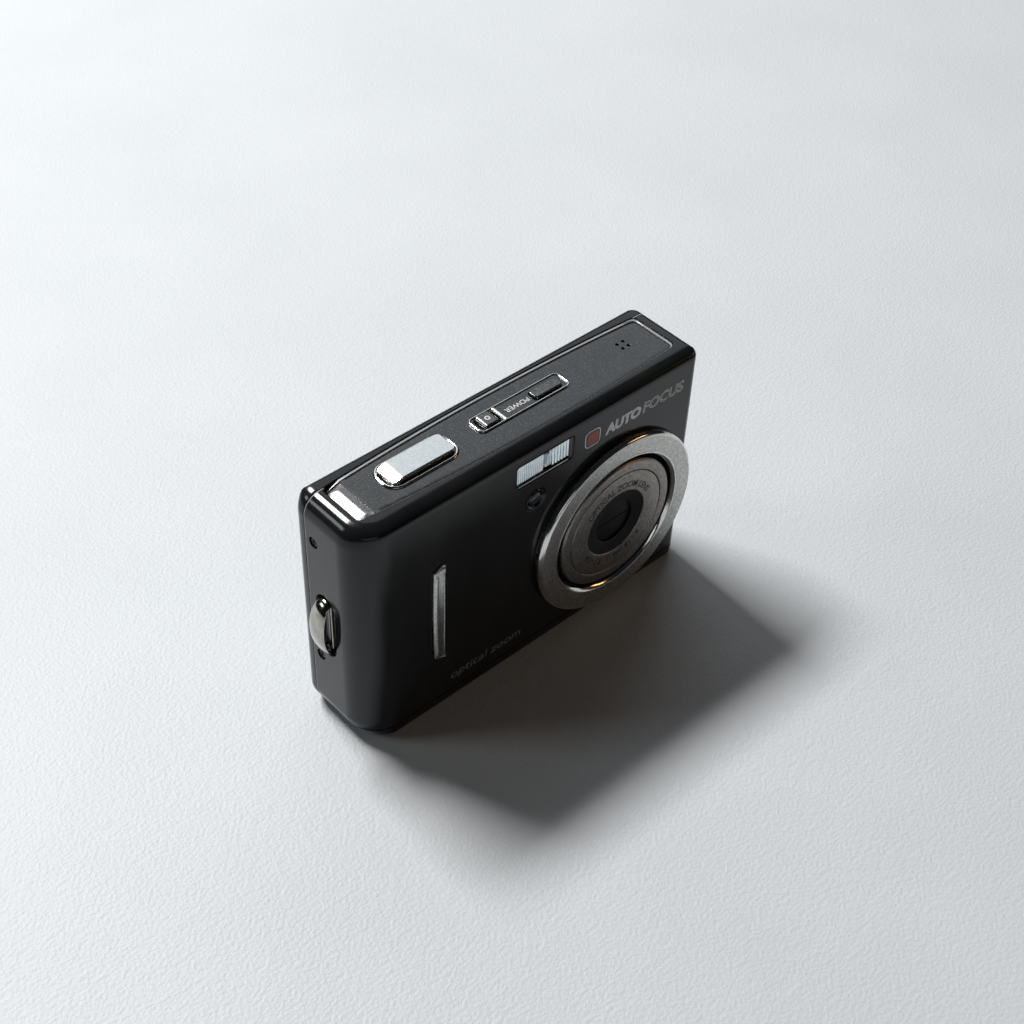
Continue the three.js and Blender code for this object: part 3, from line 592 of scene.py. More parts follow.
def speckled_plate(name, dark, light, coat):
    """Metallic paint under a clear coat: small bright flakes in cloudy patches."""
    finish = Finish(name, light, 0.4, 0.6)
    flakes = finish.ranged(finish.grains(0.34), 0.12, 0.3, 1, 0)
    cloudy = finish.patches(4, 5, 0.3, 0.7, 0.55, 1)
    finish.blend(finish.calc("MULTIPLY", flakes, cloudy), dark, light)
    finish.rough(finish.patches(5, 5, 0.3, 0.7, 0.3, 0.42))
    finish.bump(finish.noise(0.3, 2), 0.012, 0.6)
    finish.set("Coat Weight", coat)
    finish.set("Coat Roughness", 0.12)
    return finish.material


def bright_plate(name, dark, light):
    """Chrome plating with light handling marks."""
    finish = Finish(name, light, 0.1, 1.0)
    finish.blend(finish.patches(3, 4, 0.35, 0.7), dark, light)
    finish.rough(finish.patches(0.7, 4, 0.35, 0.7, 0.07, 0.2))
    finish.bump(finish.noise(1.6, 3), 0.004, 0.3)
    return finish.material


def clear_plastic(name, colour, roughness, transmission):
    finish = Finish(name, colour, roughness)
    finish.rough(finish.patches(2, 3, 0.3, 0.7, roughness, roughness + 0.05))
    finish.bump(finish.noise(1.2, 2), 0.002, 0.25)
    finish.set("Transmission Weight", transmission)
    finish.set("IOR", 1.49)
    return finish.material


def paint(name, colour, roughness=0.5):
    """Printed or moulded-in colour, slightly uneven in tone and sheen."""
    finish = Finish(name, colour, roughness)
    darker = tuple(c * 0.8 for c in colour)
    finish.blend(finish.patches(0.8, 4, 0.3, 0.7), darker, colour)
    finish.rough(finish.patches(0.4, 2, 0.3, 0.7, roughness - 0.06, roughness + 0.08))
    finish.bump(finish.noise(0.15, 2), 0.004, 0.3)
    return finish.material


def screen_glass():
    """Smoked window whose middle shows the paler, bluish screen behind it."""
    finish = Finish("screen_window_glass", (0.008, 0.008, 0.009), 0.05)
    split = finish.node("ShaderNodeSeparateXYZ", {"Vector": finish.place})
    within = []
    for label, span, border in (("X", SCREEN_X, 3.6), ("Z", SCREEN_Z, 3.4)):
        middle, half = sum(span) / 2 * MM, ((span[1] - span[0]) / 2 - border) * MM
        off = finish.calc("ABSOLUTE", finish.calc("SUBTRACT", split.outputs[label], middle))
        within.append(finish.ranged(off, half - 0.0001, half, 1, 0))
    finish.blend(finish.calc("MULTIPLY", *within), (0.006, 0.006, 0.007), (0.028, 0.031, 0.036))
    finish.rough(finish.patches(5, 4, 0.3, 0.7, 0.04, 0.09))
    finish.bump(finish.noise(3, 2), 0.001, 0.2)
    return finish.material


GLOSS_BLACK = moulded_black("gloss_black_plastic", 0.1, 0.19)
MATT_BLACK = moulded_black("matt_black_plastic", 0.42, 0.55, 0.25)
BAFFLE_BLACK = moulded_black("baffle_black", 0.36, 0.48, 0.3, 1.22)
GUNMETAL = speckled_plate("speckled_gunmetal", (0.03, 0.031, 0.032), (0.2, 0.2, 0.2), 0.6)
# Lighter copy of the plate's paint: a painted highlight standing in for light caught along the plate's back
# and right edges.
EDGE_PAINTED_HIGHLIGHT = speckled_plate("plate_edge_painted_highlight", (0.34, 0.34, 0.345), (0.5, 0.5, 0.5), 0.5)
DARK_KEY = satin_metal("dark_key_metal", (0.09, 0.09, 0.088), (0.16, 0.16, 0.155), 0.16, 0.26, 0.2, 0.004)
SATIN_SILVER = satin_metal("blasted_silver", (0.38, 0.38, 0.37), (0.6, 0.6, 0.585), 0.27, 0.36, 0.16, 0.012)
WARM_SILVER = satin_metal("anodised_barrel", (0.2, 0.188, 0.173), (0.34, 0.322, 0.298),
                          0.34, 0.42, 0.14, 0.01)
KEY_SILVER = satin_metal("key_silver", (0.62, 0.62, 0.62), (0.7, 0.7, 0.69), 0.2, 0.27, 0.2, 0.002)
FLASH_SILVER = satin_metal("flash_reflector_silver", (0.72, 0.8, 0.84), (0.86, 0.93, 0.95),
                           0.1, 0.2, 0.5, 0.003)
STEEL = satin_metal("pressed_steel", (0.33, 0.33, 0.33), (0.46, 0.46, 0.47), 0.25, 0.4, 0.4, 0.008)
STEEL_BLACK = satin_metal("blackened_steel", (0.03, 0.03, 0.03), (0.07, 0.07, 0.072),
                          0.3, 0.45, 0.3, 0.006, 0.9)
CHROME = bright_plate("bright_chrome", (0.66, 0.65, 0.62), (0.82, 0.81, 0.79))
LUG_METAL = bright_plate("worn_lug_plating", (0.33, 0.31, 0.275), (0.52, 0.5, 0.46))
FLASH_PLASTIC = clear_plastic("ribbed_flash_plastic", (0.86, 0.92, 0.93), 0.08, 0.75)
LENS_GLASS = clear_plastic("coated_lens_glass", (0.5, 0.45, 0.7), 0.02, 0.6)
DARK_GLASS = clear_plastic("smoked_glass", (0.02, 0.022, 0.026), 0.05, 0.2)
STATUS_GREEN = clear_plastic("green_lamp_plastic", (0.08, 0.3, 0.12), 0.15, 0.2)
SCREEN_GLASS = screen_glass()
BOARD = paint("green_board", (0.02, 0.13, 0.07), 0.4)
WRAP = paint("battery_wrap", (0.05, 0.055, 0.065), 0.45)
CARD = paint("card_shell", (0.03, 0.07, 0.16), 0.45)
PRINT_LIGHT = paint("light_grey_print", (0.754, 0.768, 0.797))
PRINT_DIM = paint("dim_grey_print", (0.2, 0.205, 0.21))
PRINT_BLACK = paint("black_print", (0.015, 0.015, 0.015))
# Pale grey for the seam band: a painted highlight standing in for light caught on the seam's rounded edges.
SEAM_PAINTED_HIGHLIGHT = paint("seam_painted_highlight", (0.42, 0.43, 0.43), 0.35)
BRICK_RED = paint("brick_red_inlay", (0.33, 0.075, 0.055), 0.42)


# ---------- body shells
def fillet_inset(fillet, distance, shrink):
    """How far a fillet, (pull, reach), draws the side in at a distance from the edge that it rounds."""
    pull, reach = (max(size - shrink, 0.05) for size in fillet)
    t = min(max((reach - distance) / reach, 0.0), 1.0)
    return pull * (1 - math.sqrt(1 - t * t))


def body_ring(z, shrink, steps):
    """The body's outline at a height, pulled in by its fillets and by shrink."""
    inset = {side: fillet_inset(TOP_FILLETS[side], HEIGHT - shrink - z, shrink)
             + fillet_inset(BASE_FILLETS[side], z - shrink, shrink) for side in TOP_FILLETS}
    edge = {"right": HALF_WIDTH - shrink - inset["right"], "left": -HALF_WIDTH + shrink + inset["left"],
            "front": FRONT + shrink + inset["front"], "back": BACK - shrink - inset["back"]}
    inward = {"right": -1, "left": 1, "front": 1, "back": -1}
    ring = []
    for side_x, side_y, radius_x, radius_y, start in CORNERS:
        rx = max(radius_x - shrink - inset[side_x], 0.3)
        ry = max(radius_y - shrink - inset[side_y], 0.3)
        for step in range(steps + 1):
            angle = math.pi * (start + 0.5 * step / steps)
            ring.append((edge[side_x] + rx * (inward[side_x] + math.cos(angle)),
                         edge[side_y] + ry * (inward[side_y] + math.sin(angle)), z))
    return ring


def body(name, shrink=0.0, steps=14):
    """The whole rounded body, pulled in all round by shrink."""
    turns = [0.5 * math.pi * k / steps for k in range(steps + 1)]
    low = [shrink + (BASE_FILLETS["left"][1] - shrink) * (1 - math.cos(t)) for t in turns]
    high = [HEIGHT - shrink - (TOP_FILLETS["left"][1] - shrink) * (1 - math.cos(t)) for t in turns]
    return loft(name, [body_ring(z, shrink, steps) for z in low + high[::-1]])


def sliced(obj, planes, edge_radius):
    """Cuts a solid by planes, each (point, outward normal), and rounds the new edges."""
    def lies_on(edge, point, normal):
        return all(abs((v.co - Vector(point)).dot(Vector(normal))) < 1e-4 for v in edge.verts)

    with edited(obj.data) as made:
        for point, normal in planes:
            whole = made.verts[:] + made.edges[:] + made.faces[:]
            cut = bmesh.ops.bisect_plane(made, geom=whole, plane_co=point, plane_no=normal, clear_outer=True,
                                         dist=1e-5)
            rim = [e for e in cut["geom_cut"] if isinstance(e, bmesh.types.BMEdge)]
            bmesh.ops.contextual_create(made, geom=rim)
        rims = [e for e in made.edges if any(lies_on(e, *plane) for plane in planes)]
        bmesh.ops.bevel(made, geom=rims, offset=edge_radius, segments=3, profile=0.5, affect="EDGES",
                        clamp_overlap=False)
        bmesh.ops.recalc_face_normals(made, faces=made.faces)
    return obj


def bezier(p0, p1, p2, count):
    """Points along a curve that leaves p0 towards p1 and comes into p2, which is left out."""
    return [((1 - t) ** 2 * p0[0] + 2 * t * (1 - t) * p1[0] + t * t * p2[0],
             (1 - t) ** 2 * p0[1] + 2 * t * (1 - t) * p1[1] + t * t * p2[1])
            for t in (k / count for k in range(count))]


def plate_outline(front, back, left, right):
    """The top plate's outline, grown on each side, with gently bowed front and back edges."""
    x0, x1 = PLATE_LEFT - left, PLATE_RIGHT + right
    low, high = -front, back
    return [
        *bezier((x0 + 1.2, -4.7 + low), (0.3, -8.2 + low), (x1 - 1.2, -5.6 + low), 28),
        *bezier((x1 - 1.2, -5.6 + low), (x1, -5.4 + low), (x1, -4.2 + low), 6),
        *bezier((x1, -4.2 + low), (x1, 0), (x1, 4.9 + high), 4),
        *bezier((x1, 4.9 + high), (x1, 6.0 + high), (x1 - 1.2, 6.1 + high), 6),
        *bezier((x1 - 1.2, 6.1 + high), (0.3, 8.9 + high), (x0 + 1.2, 6.1 + high), 28),
        *bezier((x0 + 1.2, 6.1 + high), (x0, 5.9 + high), (x0, 4.9 + high), 6),
        *bezier((x0, 4.9 + high), (x0, 0), (x0, -3.6 + low), 4),
        *bezier((x0, -3.6 + low), (x0, -4.6 + low), (x0 + 1.2, -4.7 + low), 6),
    ]


def plate_recess():
    """The cutter for the top recess, wider at its back and right, where the plate has its rim with a painted
    highlight.
    """
    layers = (
        (HEIGHT - 4, 0.13, 0.62, 0.15, 0.55),
        (HEIGHT - 0.16, 0.13, 0.62, 0.15, 0.55),
        (HEIGHT - 0.05, 0.19, 0.68, 0.3, 0.61),
        (HEIGHT + 0.01, 0.34, 0.82, 0.55, 0.75),
        (HEIGHT + 1, 0.34, 0.82, 0.55, 0.75),
    )
    return loft("recess", [placed("z", plate_outline(f, b, l, r), z) for z, f, b, l, r in layers])


def key_specs():
    """Each rear key's spans along X and Z, and its corner radius."""
    keys = {
        "up_key": ((KEYS_X, PAD_Z + ARROW_REACH), (6, 3.6)),
        "down_key": ((KEYS_X, PAD_Z - ARROW_REACH), (6, 3.6)),
        "left_key": ((KEYS_X - ARROW_REACH, PAD_Z), (3.6, 6)),
        "right_key": ((KEYS_X + ARROW_REACH, PAD_Z), (3.6, 6)),
        "ok_button": ((KEYS_X, PAD_Z), (6.4, 6.4)),
        "menu_button": ((KEYS_X - MENU_REACH, MENU_ROW_Z), (6, 3.6)),
        "playback_button": ((KEYS_X + MENU_REACH, MENU_ROW_Z), (6, 3.6)),
        "zoom_rocker": ((KEYS_X, ROCKER_Z), (14, 5)),
    }
    return {name: (*spans(at, size[0] / 2, size[1] / 2), min(size) / 2 - 0.2)
            for name, (at, size) in keys.items()}


def bar_outline(grow):
    """The grip bar: a straight right edge, slanted ends and a slightly bowed left edge."""
    left = bezier((-27.6 - grow, 41.2 + grow), (-28 - grow, 28.6), (-27.4 - grow, 16 - grow), 10)
    return [(-24.7 + grow, 15.2 - grow), (-24.7 + grow, 42.2 + grow), (-25.6, 42.5 + grow), *left,
            (-27.4 - grow, 16 - grow)]


def front_cover():
    cover = sliced(body("front_shell"), [
        ((0, REAR_SEAM_Y - SEAM / 2, 0), (0, 1, 0)),
        ((0, 0, BASE_SEAM_Z + SEAM / 2), (0, 0, -1)),
    ], 0.16)
    inside = FRONT + 3
    lens_layers = [(LENS_HOLE_RADIUS, FRONT - 2), (LENS_HOLE_RADIUS, FRONT + 4)]
    bar_layers = ((0.12, FRONT + 0.4), (0.12, FRONT + 0.06), (0.22, FRONT - 0.01), (0.22, FRONT - 1))
    cutters = [
        body("hollow", WALL, 8),
        plate_recess(),
        disc("lens_hole", "y", (LENS_X, LENS_Z), lens_layers, 96),
        pill("flash_hole", "y", FLASH_X, FLASH_Z, 0.9, mouth_layers(inside, FRONT, 0.16, -1), 6),
        disc("lamp_hole", "y", FOCUS_LAMP, mouth_layers(inside, FRONT, 0.22, -1, FOCUS_LAMP_RADIUS + 0.12)),
        loft("bar_pocket", [placed("y", bar_outline(grow), y) for grow, y in bar_layers]),
        pill("lug_hole", "x", *LUG_POCKET, mouth_layers(3 - HALF_WIDTH, -HALF_WIDTH, 0.3, -1)),
        pill("usb_hole", "x", USB_Y, USB_Z, 0.6, mouth_layers(HALF_WIDTH - 3, HALF_WIDTH, 0.15, 1, 0.2)),
    ]
    for side, y, z in SIDE_SCREWS:
        depth = side * (HALF_WIDTH - SCREW_SEAT_DEPTH)
        layers = mouth_layers(depth, side * HALF_WIDTH, 0.14, side, SCREW_SEAT_RADIUS)
        cutters.append(disc("screw_seat", "x", (y, z), layers, 32))
    boxy_piece(cut_out(cover, cutters), GLOSS_BLACK, stands_for=["front_cover"])


def rear_cover():
    cover = sliced(body("rear_shell"), [((0, REAR_SEAM_Y + SEAM / 2, 0), (0, -1, 0))], 0.2)
    screen_layers = mouth_layers(BACK - 3, BACK, 0.16, 1, 0.12)
    cutters = [
        body("hollow", WALL, 8),
        plate_recess(),
        pill("screen_hole", "y", SCREEN_X, SCREEN_Z, 0.8, screen_layers, 5),
    ]
    for span_u, span_v, radius in key_specs().values():
        layers = mouth_layers(BACK - 3, BACK, 0.2, 1, CLEAR - 0.1)
        cutters.append(pill("key_hole", "y", span_u, span_v, radius, layers, 6))
    boxy_piece(cut_out(cover, cutters), GLOSS_BLACK, stands_for=["rear_cover"])


def bottom_plate():
    plate = sliced(body("base_shell"), [
        ((0, REAR_SEAM_Y - SEAM / 2, 0), (0, 1, 0)),
        ((0, 0, BASE_SEAM_Z - SEAM / 2), (0, 0, 1)),
    ], 0.12)
    cutters = [
        body("hollow", WALL, 8),
        pill("door_hole", "z", DOOR_X, DOOR_Y, 0.4, mouth_layers(4, 0, 0.12, -1, 0.22), 4),
        disc("bush_hole", "z", TRIPOD, mouth_layers(4, 0, 0.2, -1, BUSH_HOLE_RADIUS), 64),
    ]
    for at in BASE_SCREWS:
        layers = mouth_layers(SCREW_SEAT_DEPTH, 0, 0.14, -1, SCREW_SEAT_RADIUS)
        cutters.append(disc("screw_seat", "z", at, layers, 32))
    boxy_piece(cut_out(plate, cutters), GLOSS_BLACK, stands_for=["bottom_plate"])


def seam_band():
    """The pale band that fills the seam between the front and rear covers: its pale colour is a painted
    highlight along the seam.
    """
    reach = SEAM / 2 - 0.01
    band = sliced(body("seam_band", BAND_SINK, 10), [
        ((0, REAR_SEAM_Y + reach, 0), (0, 1, 0)),
        ((0, REAR_SEAM_Y - reach, 0), (0, -1, 0)),
    ], 0.02)
    boxy_piece(cut_out(band, [body("hollow", BAND_WALL, 8), plate_recess()]), SEAM_PAINTED_HIGHLIGHT)


# ---------- top plate and controls
def plate_level(x):
    """Height of the plate's surface: flat, then bent down in a slope that steepens at its left end."""
    t = (PLATE_BEND_X - x) / (PLATE_BEND_X - PLATE_LEFT)
    soft = 0.05
    slope = (t + math.sqrt(t * t + soft * soft)) / 2
    rolled = max(t - 0.66, 0.0) ** 2
    return PLATE_TOP - PLATE_DROP * (0.9 * slope + rolled)


def top_plate():
    """Rings of the outline, draped over the plate's section and rounded at the rim."""
    rim = [(0.0, 1.2), (0.0, 0.24), (0.04, 0.16), (0.2, 0.11), (0.5, 0.05), (0.9, 0.015), (1.3, 0.0)]
    rings = []
    for inset, drop in rim:
        outline = plate_outline(-inset, -inset, -inset, -inset)
        rings.append([(x, y, plate_level(x) - drop) for x, y in outline])
    plate = loft("top_plate_skin", rings)
    with edited(plate.data) as made:
        for k in range(20):
            cut_across(made, PLATE_LEFT + 0.1 + 0.25 * k)
        for vertex in made.verts:
            near_top = vertex.co.z > PLATE_TOP - PLATE_DROP - 0.2 and vertex.co.x < PLATE_BEND_X + 2
            if near_top and abs(vertex.co.z - plate_level(vertex.co.x)) > 0.25:
                vertex.co.z = plate_level(vertex.co.x)
    deep, above = HEIGHT - 5, HEIGHT + 1
    cutters = [
        pill("shutter_hole", "z", SHUTTER_X, SHUTTER_Y, 2.2, [(1.0, deep), (1.0, above)]),
        pill("mode_hole", "z", MODE_X, MODE_Y, 1.0, [(CLEAR, deep), (CLEAR, above)]),
        pill("power_hole", "z", POWER_X, POWER_Y, 0.6, [(CLEAR, deep), (CLEAR, above)]),
    ]
    hole = disc("sound_holes", "z", (0, 0), mouth_layers(deep, PLATE_TOP, 0.1, 1, 0.38), 20)
    holes = array_of(hole, (2, 2), (SPEAKER_PITCH, SPEAKER_PITCH), GUNMETAL, "XY")
    cutters.append(moved(holes, *SPEAKER, 0))
    boxy_piece(cut_out(plate, cutters), GUNMETAL, stands_for=["top_plate"])


def plate_edge():
    """The rim that stands just above the plate at its back and right; its lighter colour is a painted
    highlight.
    """
    section = (  # growth at the front, back, left and right, and rise above the plate
        (-0.06, 0.0, -0.06, 0.0, -0.3), (-0.06, 0.0, -0.06, 0.0, 0.06), (-0.04, 0.07, -0.04, 0.07, 0.13),
        (0.02, 0.5, 0.02, 0.42, 0.15), (0.05, 0.57, 0.05, 0.5, 0.08), (0.06, 0.59, 0.06, 0.52, -0.3),
    )
    rings = [[(x, y, plate_level(x) + rise) for x, y in plate_outline(*growth)] for *growth, rise in section]
    piece(loft("plate_edge_trim", rings, closed=True), EDGE_PAINTED_HIGHLIGHT)


def crowned_pill(name, span_x, span_y, radius, base, top, edge, roll, bend=0.0):
    """A cap with its rim rounded by edge, its ends rolled down along X and its left end sloped over bend."""
    layers = [(0, base), *((-out, top - edge + up) for out, up in rounding(edge, 8))]
    cap = pill(name, "z", span_x, span_y, radius, layers, 10)
    middle, half = sum(span_x) / 2, (span_x[1] - span_x[0]) / 2
    with edited(cap.data) as made:
        for k in range(1, 40):
            cut_across(made, middle - half + half * k / 20)
        for vertex in made.verts:
            x = vertex.co.x
            share = min(max((vertex.co.z - base) / (top - base), 0), 1)
            reach = min(max(abs(x - middle) - (half - roll), 0) / roll, 1)
            vertex.co.z -= share * (top - base) * 0.75 * (1 - math.sqrt(1 - reach ** 2))
            vertex.co.z -= share * 0.08 * ((x - middle) / half) ** 2
            vertex.co.z -= share * BEND_SLOPE * max(span_x[0] + bend - x, 0)
    return cap


def shutter_button():
    cap = crowned_pill("shutter_cap", SHUTTER_X, SHUTTER_Y, 1.35, CAP_FOOT - 0.1, HEIGHT + 1.0,
                       0.24, 0.35, 2.6)
    boxy_piece(cap, KEY_SILVER, "shutter_button", ["shutter_button"], 40)


def shutter_bezel():
    base = PLATE_TOP + 0.05
    section = [(0.3, PLATE_TOP - 0.9), (0.8, PLATE_TOP - 0.9), (0.8, base), (1.12, base),
               (1.14, base + 0.06), (1.06, base + 0.22), (0.9, base + 0.33), (0.68, base + 0.35),
               (0.5, base + 0.28), (0.36, base + 0.1)]
    ring = frame_ring("shutter_bezel_ring", "z", SHUTTER_X, SHUTTER_Y, 2.2, section, 12)
    piece(ring, CHROME, stands_for=["shutter_bezel"], angle=50)


def control_bezel():
    base = PLATE_TOP + 0.02
    top = base + 0.36
    section = [(-0.42, base), (0, base), (0, top - 0.12), (-0.05, top - 0.03), (-0.14, top), (-0.24, top),
               (-0.36, top - 0.03), (-0.42, top - 0.12)]
    ring = frame_ring("control_bezel_ring", "z", STRIP_X, STRIP_Y, 1.3, section, 10)
    piece(ring, CHROME, stands_for=["control_bezel"], angle=50)
    through = [(0.2, base - 1), (0.2, base + 1)]
    floor = pill("control_floor", "z", STRIP_X, STRIP_Y, 1.3, [(-0.4, base), (-0.4, base + 0.12)], 6)
    cut_out(floor, [
        pill("mode_hole", "z", MODE_X, MODE_Y, 1.0, through),
        pill("power_hole", "z", POWER_X, POWER_Y, 0.6, through),
    ])
    boxy_piece(floor, GUNMETAL)
    post = pill("control_post", "z", (-0.95, -0.45), (STRIP_Y[0] + 0.4, STRIP_Y[1] - 0.4), 0.1,
                [(0, base), (0, top - 0.1), (-0.08, top - 0.02)], 4)
    boxy_piece(post, CHROME, angle=50)


def top_keys():
    mode = crowned_pill("mode_cap", MODE_X, MODE_Y, 1.0, CAP_FOOT, HEIGHT + 0.45, 0.22, 1.2)
    boxy_piece(mode, DARK_KEY, "mode_button", ["mode_button"], 40)
    layers = [(0, CAP_FOOT), (0, HEIGHT + 0.2), (-0.08, HEIGHT + 0.38), (-0.25, HEIGHT + 0.45)]
    power = pill("power_cap", "z", POWER_X, POWER_Y, 0.6, layers, 8)
    boxy_piece(power, DARK_KEY, "power_button", ["power_button"], 40)


# ---------- lens
def lens_ring():
    rim, face = RING_RADIUS, RING_FRONT
    collar = LENS_HOLE_RADIUS - 0.2
    profile = [(RING_BORE, -6.5), (collar, -6.5), (collar, FRONT - 0.02), (rim - 0.4, FRONT - 0.02),
               (rim - 0.36, FRONT - 0.4), (rim - 0.04, FRONT - 0.62), (rim, face + 1.05),
               (rim - 0.2, face + 0.4), (rim - 0.75, face + 0.02), (rim - 0.95, face),
               (RING_BORE + 0.75, face + 0.05), (RING_BORE + 0.5, face + 0.16), (RING_BORE, face + 0.75)]
    ring = turn("lens_trim_ring", softened(profile, 0.1), 224)
    piece(ring, SATIN_SILVER, stands_for=["lens_ring"], angle=50)
    edge = [(rim - 0.1, face + 1.15), (rim + 0.01, face + 1.05), (rim - 0.03, face + 0.74),
            (rim - 0.19, face + 0.38), (rim - 0.42, face + 0.14), (rim - 0.75, face),
            (rim - 0.75, face + 0.15), (rim - 0.4, face + 0.4)]
    piece(turn("lens_ring_edge", edge, 224), CHROME, angle=60)
    lip = [(RING_BORE - 0.02, face + 0.8), (RING_BORE + 0.5, face + 0.14), (RING_BORE + 0.78, face + 0.03),
           (RING_BORE + 0.74, face - 0.01), (RING_BORE + 0.44, face + 0.06), (RING_BORE - 0.08, face + 0.74)]
    piece(turn("lens_ring_lip", lip, 224), CHROME, angle=60)


def barrels():
    front, bore = BARREL_FRONT, INNER_BARREL_RADIUS + 0.12
    outer = [(bore, 1), (OUTER_BARREL_RADIUS, 1), (OUTER_BARREL_RADIUS, front + 0.35),
             (OUTER_BARREL_RADIUS - 0.35, front), (bore + 0.12, front), (bore, front + 0.12)]
    piece(turn("outer_barrel_tube", softened(outer, 0.1), 192), WARM_SILVER, "outer_barrel",
          ["outer_barrel"], 50)
    rim, tube, face = INNER_BARREL_RADIUS, INNER_BARREL_RADIUS - 1.25, front + 1
    inner = [(tube, 0), (rim, 0), (rim, front + 0.12), (rim - 0.12, front), (LENS_MOUTH_RADIUS + 0.15, front),
             (LENS_MOUTH_RADIUS, front + 0.15), (LENS_MOUTH_RADIUS, face), (tube, face)]
    piece(turn("inner_barrel_tube", softened(inner, 0.06), 192), WARM_SILVER, "inner_barrel",
          ["inner_barrel"], 50)
    mouth = LENS_MOUTH_RADIUS - 0.05
    cone = [(mouth, front + 0.12), (mouth, face + 0.1), (APERTURE_RADIUS, face + 0.1),
            (APERTURE_RADIUS, face - 0.2), (APERTURE_RADIUS + 0.5, face - 0.32), (mouth - 0.5, front + 0.28)]
    piece(turn("lens_mouth_cone", softened(cone, 0.08), 128), BAFFLE_BLACK, "inner_barrel",
          ["barrier_cone"], 50)
    glass = [(0, -9.2), (3.0, -9.05), (5.2, -8.72), (7.0, -8.25), (7.0, -6.6), (0, -6.6)]
    piece(turn("front_element", glass, 96), LENS_GLASS, "inner_barrel", ["front_lens"], 50)


# ---------- lens cover and lettering on the lens
def cover_blades():
    """Two half discs that close the lens, with a fine bevel along the parting line."""
    level = BARREL_FRONT + 1.32
    for side, name in ((1, "upper"), (-1, "lower")):
        rings = []
        for inset, y in ((0.0, level + 0.55), (0.0, level + 0.1), (0.1, level)):
            turns = [math.pi * k / 40 for k in range(41)]
            rings.append([(LENS_X + (BLADE_REACH - inset) * math.cos(t), y,
                           LENS_Z + side * (BLADE_GAP + inset + (BLADE_RISE - inset) * math.sin(t)))
                          for t in turns])
        blade = loft("cover_blade_" + name, rings)
        piece(blade, BAFFLE_BLACK, "blade_" + name, ["shutter_blade_" + name])


def lens_lettering():
    for name, text, half, start in (("title", "OPTICAL ZOOM LENS", 10.6, 4),
                                    ("range", "6 - 18 mm  1 : 3.1 - 5.6", 9.4, 186)):
        band = round_lens(LETTER_RADIUS, BARREL_FRONT, start)
        low, high = (-half, -LETTER_HALF_HEIGHT), (half, LETTER_HALF_HEIGHT)
        word = letters("lens_" + name, text, low, high, band, 0.015)
        printed(word, PRINT_BLACK, "inner_barrel")


# ---------- front details
def grip_bar():
    layers = ((0, -9.65), (0, -10.3), (-0.06, -10.45), (-0.42, -10.82), (-0.5, -10.88), (-0.62, -10.88),
              (-0.68, -10.8), (-0.9, -10.72))
    bar = loft("grip_bar_body", [placed("y", bar_outline(grow), y) for grow, y in layers])
    scoop, past_ends = 2.25, (-30, -22)
    cut_out(bar, [disc("scoop", "x", (-12.75, z), [(scoop, x) for x in past_ends], 64) for z in (41.2, 16.2)])
    piece(bar, SATIN_SILVER, stands_for=["grip_bar"], angle=28)


def flash():
    """A dark frame, a run of bright upright ribs behind the window, and a chrome sill below them."""
    low = FRONT + 0.02
    section = [(-0.05, low + 1.2), (-0.05, low + 0.1), (-0.2, low - 0.04), (-0.36, low + 0.06),
               (-0.42, low + 0.5), (-0.42, low + 1.2)]
    piece(frame_ring("flash_frame", "y", FLASH_X, FLASH_Z, 0.9, section, 6), GLOSS_BLACK)
    layers = [(0, low + 0.9), (0, low - 0.02), (-0.05, low - 0.05)]
    piece(pill("flash_sill", "y", (-5.6, 7.9), (50.5, 50.72), 0.08, layers, 3), CHROME)
    span_x, span_z = (-5.9, 8.05), (51.25, 55.85)
    layers = [(0, low + 1.3), (0, low + 0.62), (-0.05, low + 0.55)]
    backing = pill("flash_backing", "y", span_x, span_z, 0.35, layers, 4)
    piece(backing, FLASH_SILVER, stands_for=["flash_window"])
    reach = (span_z[1] - span_z[0]) / 2 - 0.1
    for name, first, count, pitch in (("fine", -5.75, 14, 0.5), ("broad", 3.6, 6, 0.8)):
        half = pitch / 2
        profile = [(-half, 0.06), (-half, 0.0), (-half * 0.82, -0.24), (-half * 0.4, -0.36), (0.0, -0.4),
                   (half * 0.4, -0.36), (half * 0.7, -0.24), (half * 0.8, 0.0), (half * 0.8, 0.06)]
        rib = loft(f"flash_ribs_{name}", [[(x, y, z) for x, y in profile] for z in (-reach, reach)])
        array_of(rib, (count, 1), (pitch, 0), FLASH_SILVER)
        moved(rib, first + pitch * (count - 1) / 2 + half, low + 0.56, sum(span_z) / 2)
        piece(rib, FLASH_SILVER, angle=30)
    layers = [(0, low + 0.6), (-0.1, low + 0.45), (-0.5, low + 0.1), (-0.62, low + 0.08)]
    wedge = pill("flash_wedge", "y", (1.5, 3.1), (span_z[0] + 0.2, span_z[1] - 0.2), 0.3, layers, 5)
    piece(wedge, FLASH_PLASTIC)
    layers = [(0, low + 1.1), (0, low + 0.2), (-0.08, low + 0.1)]
    piece(pill("flash_end", "y", (8.1, 9.25), (50.5, 55.9), 0.3, layers, 4), DARK_GLASS)


def focus_lamp():
    face, half = FRONT, FOCUS_LAMP_RADIUS - 0.02
    section = [(0, face + 1), (0, face + 0.05), (-0.12, face - 0.07), (-0.3, face - 0.07),
               (-0.85, face + 0.35), (-0.95, face + 0.6), (-0.95, face + 1)]
    ring = frame_ring("focus_lamp_ring", "y", *spans(FOCUS_LAMP, half, half), half - 0.01, section, 12)
    piece(ring, GLOSS_BLACK)
    layers = [(1.66, face + 1), (1.66, face + 0.5), (1.5, face + 0.3), (1.1, face + 0.16),
              (0.55, face + 0.08), (0.05, face + 0.06)]
    dome = disc("focus_lamp_lens", "y", FOCUS_LAMP, layers)
    piece(dome, DARK_GLASS, stands_for=["af_lamp_window"], angle=60)


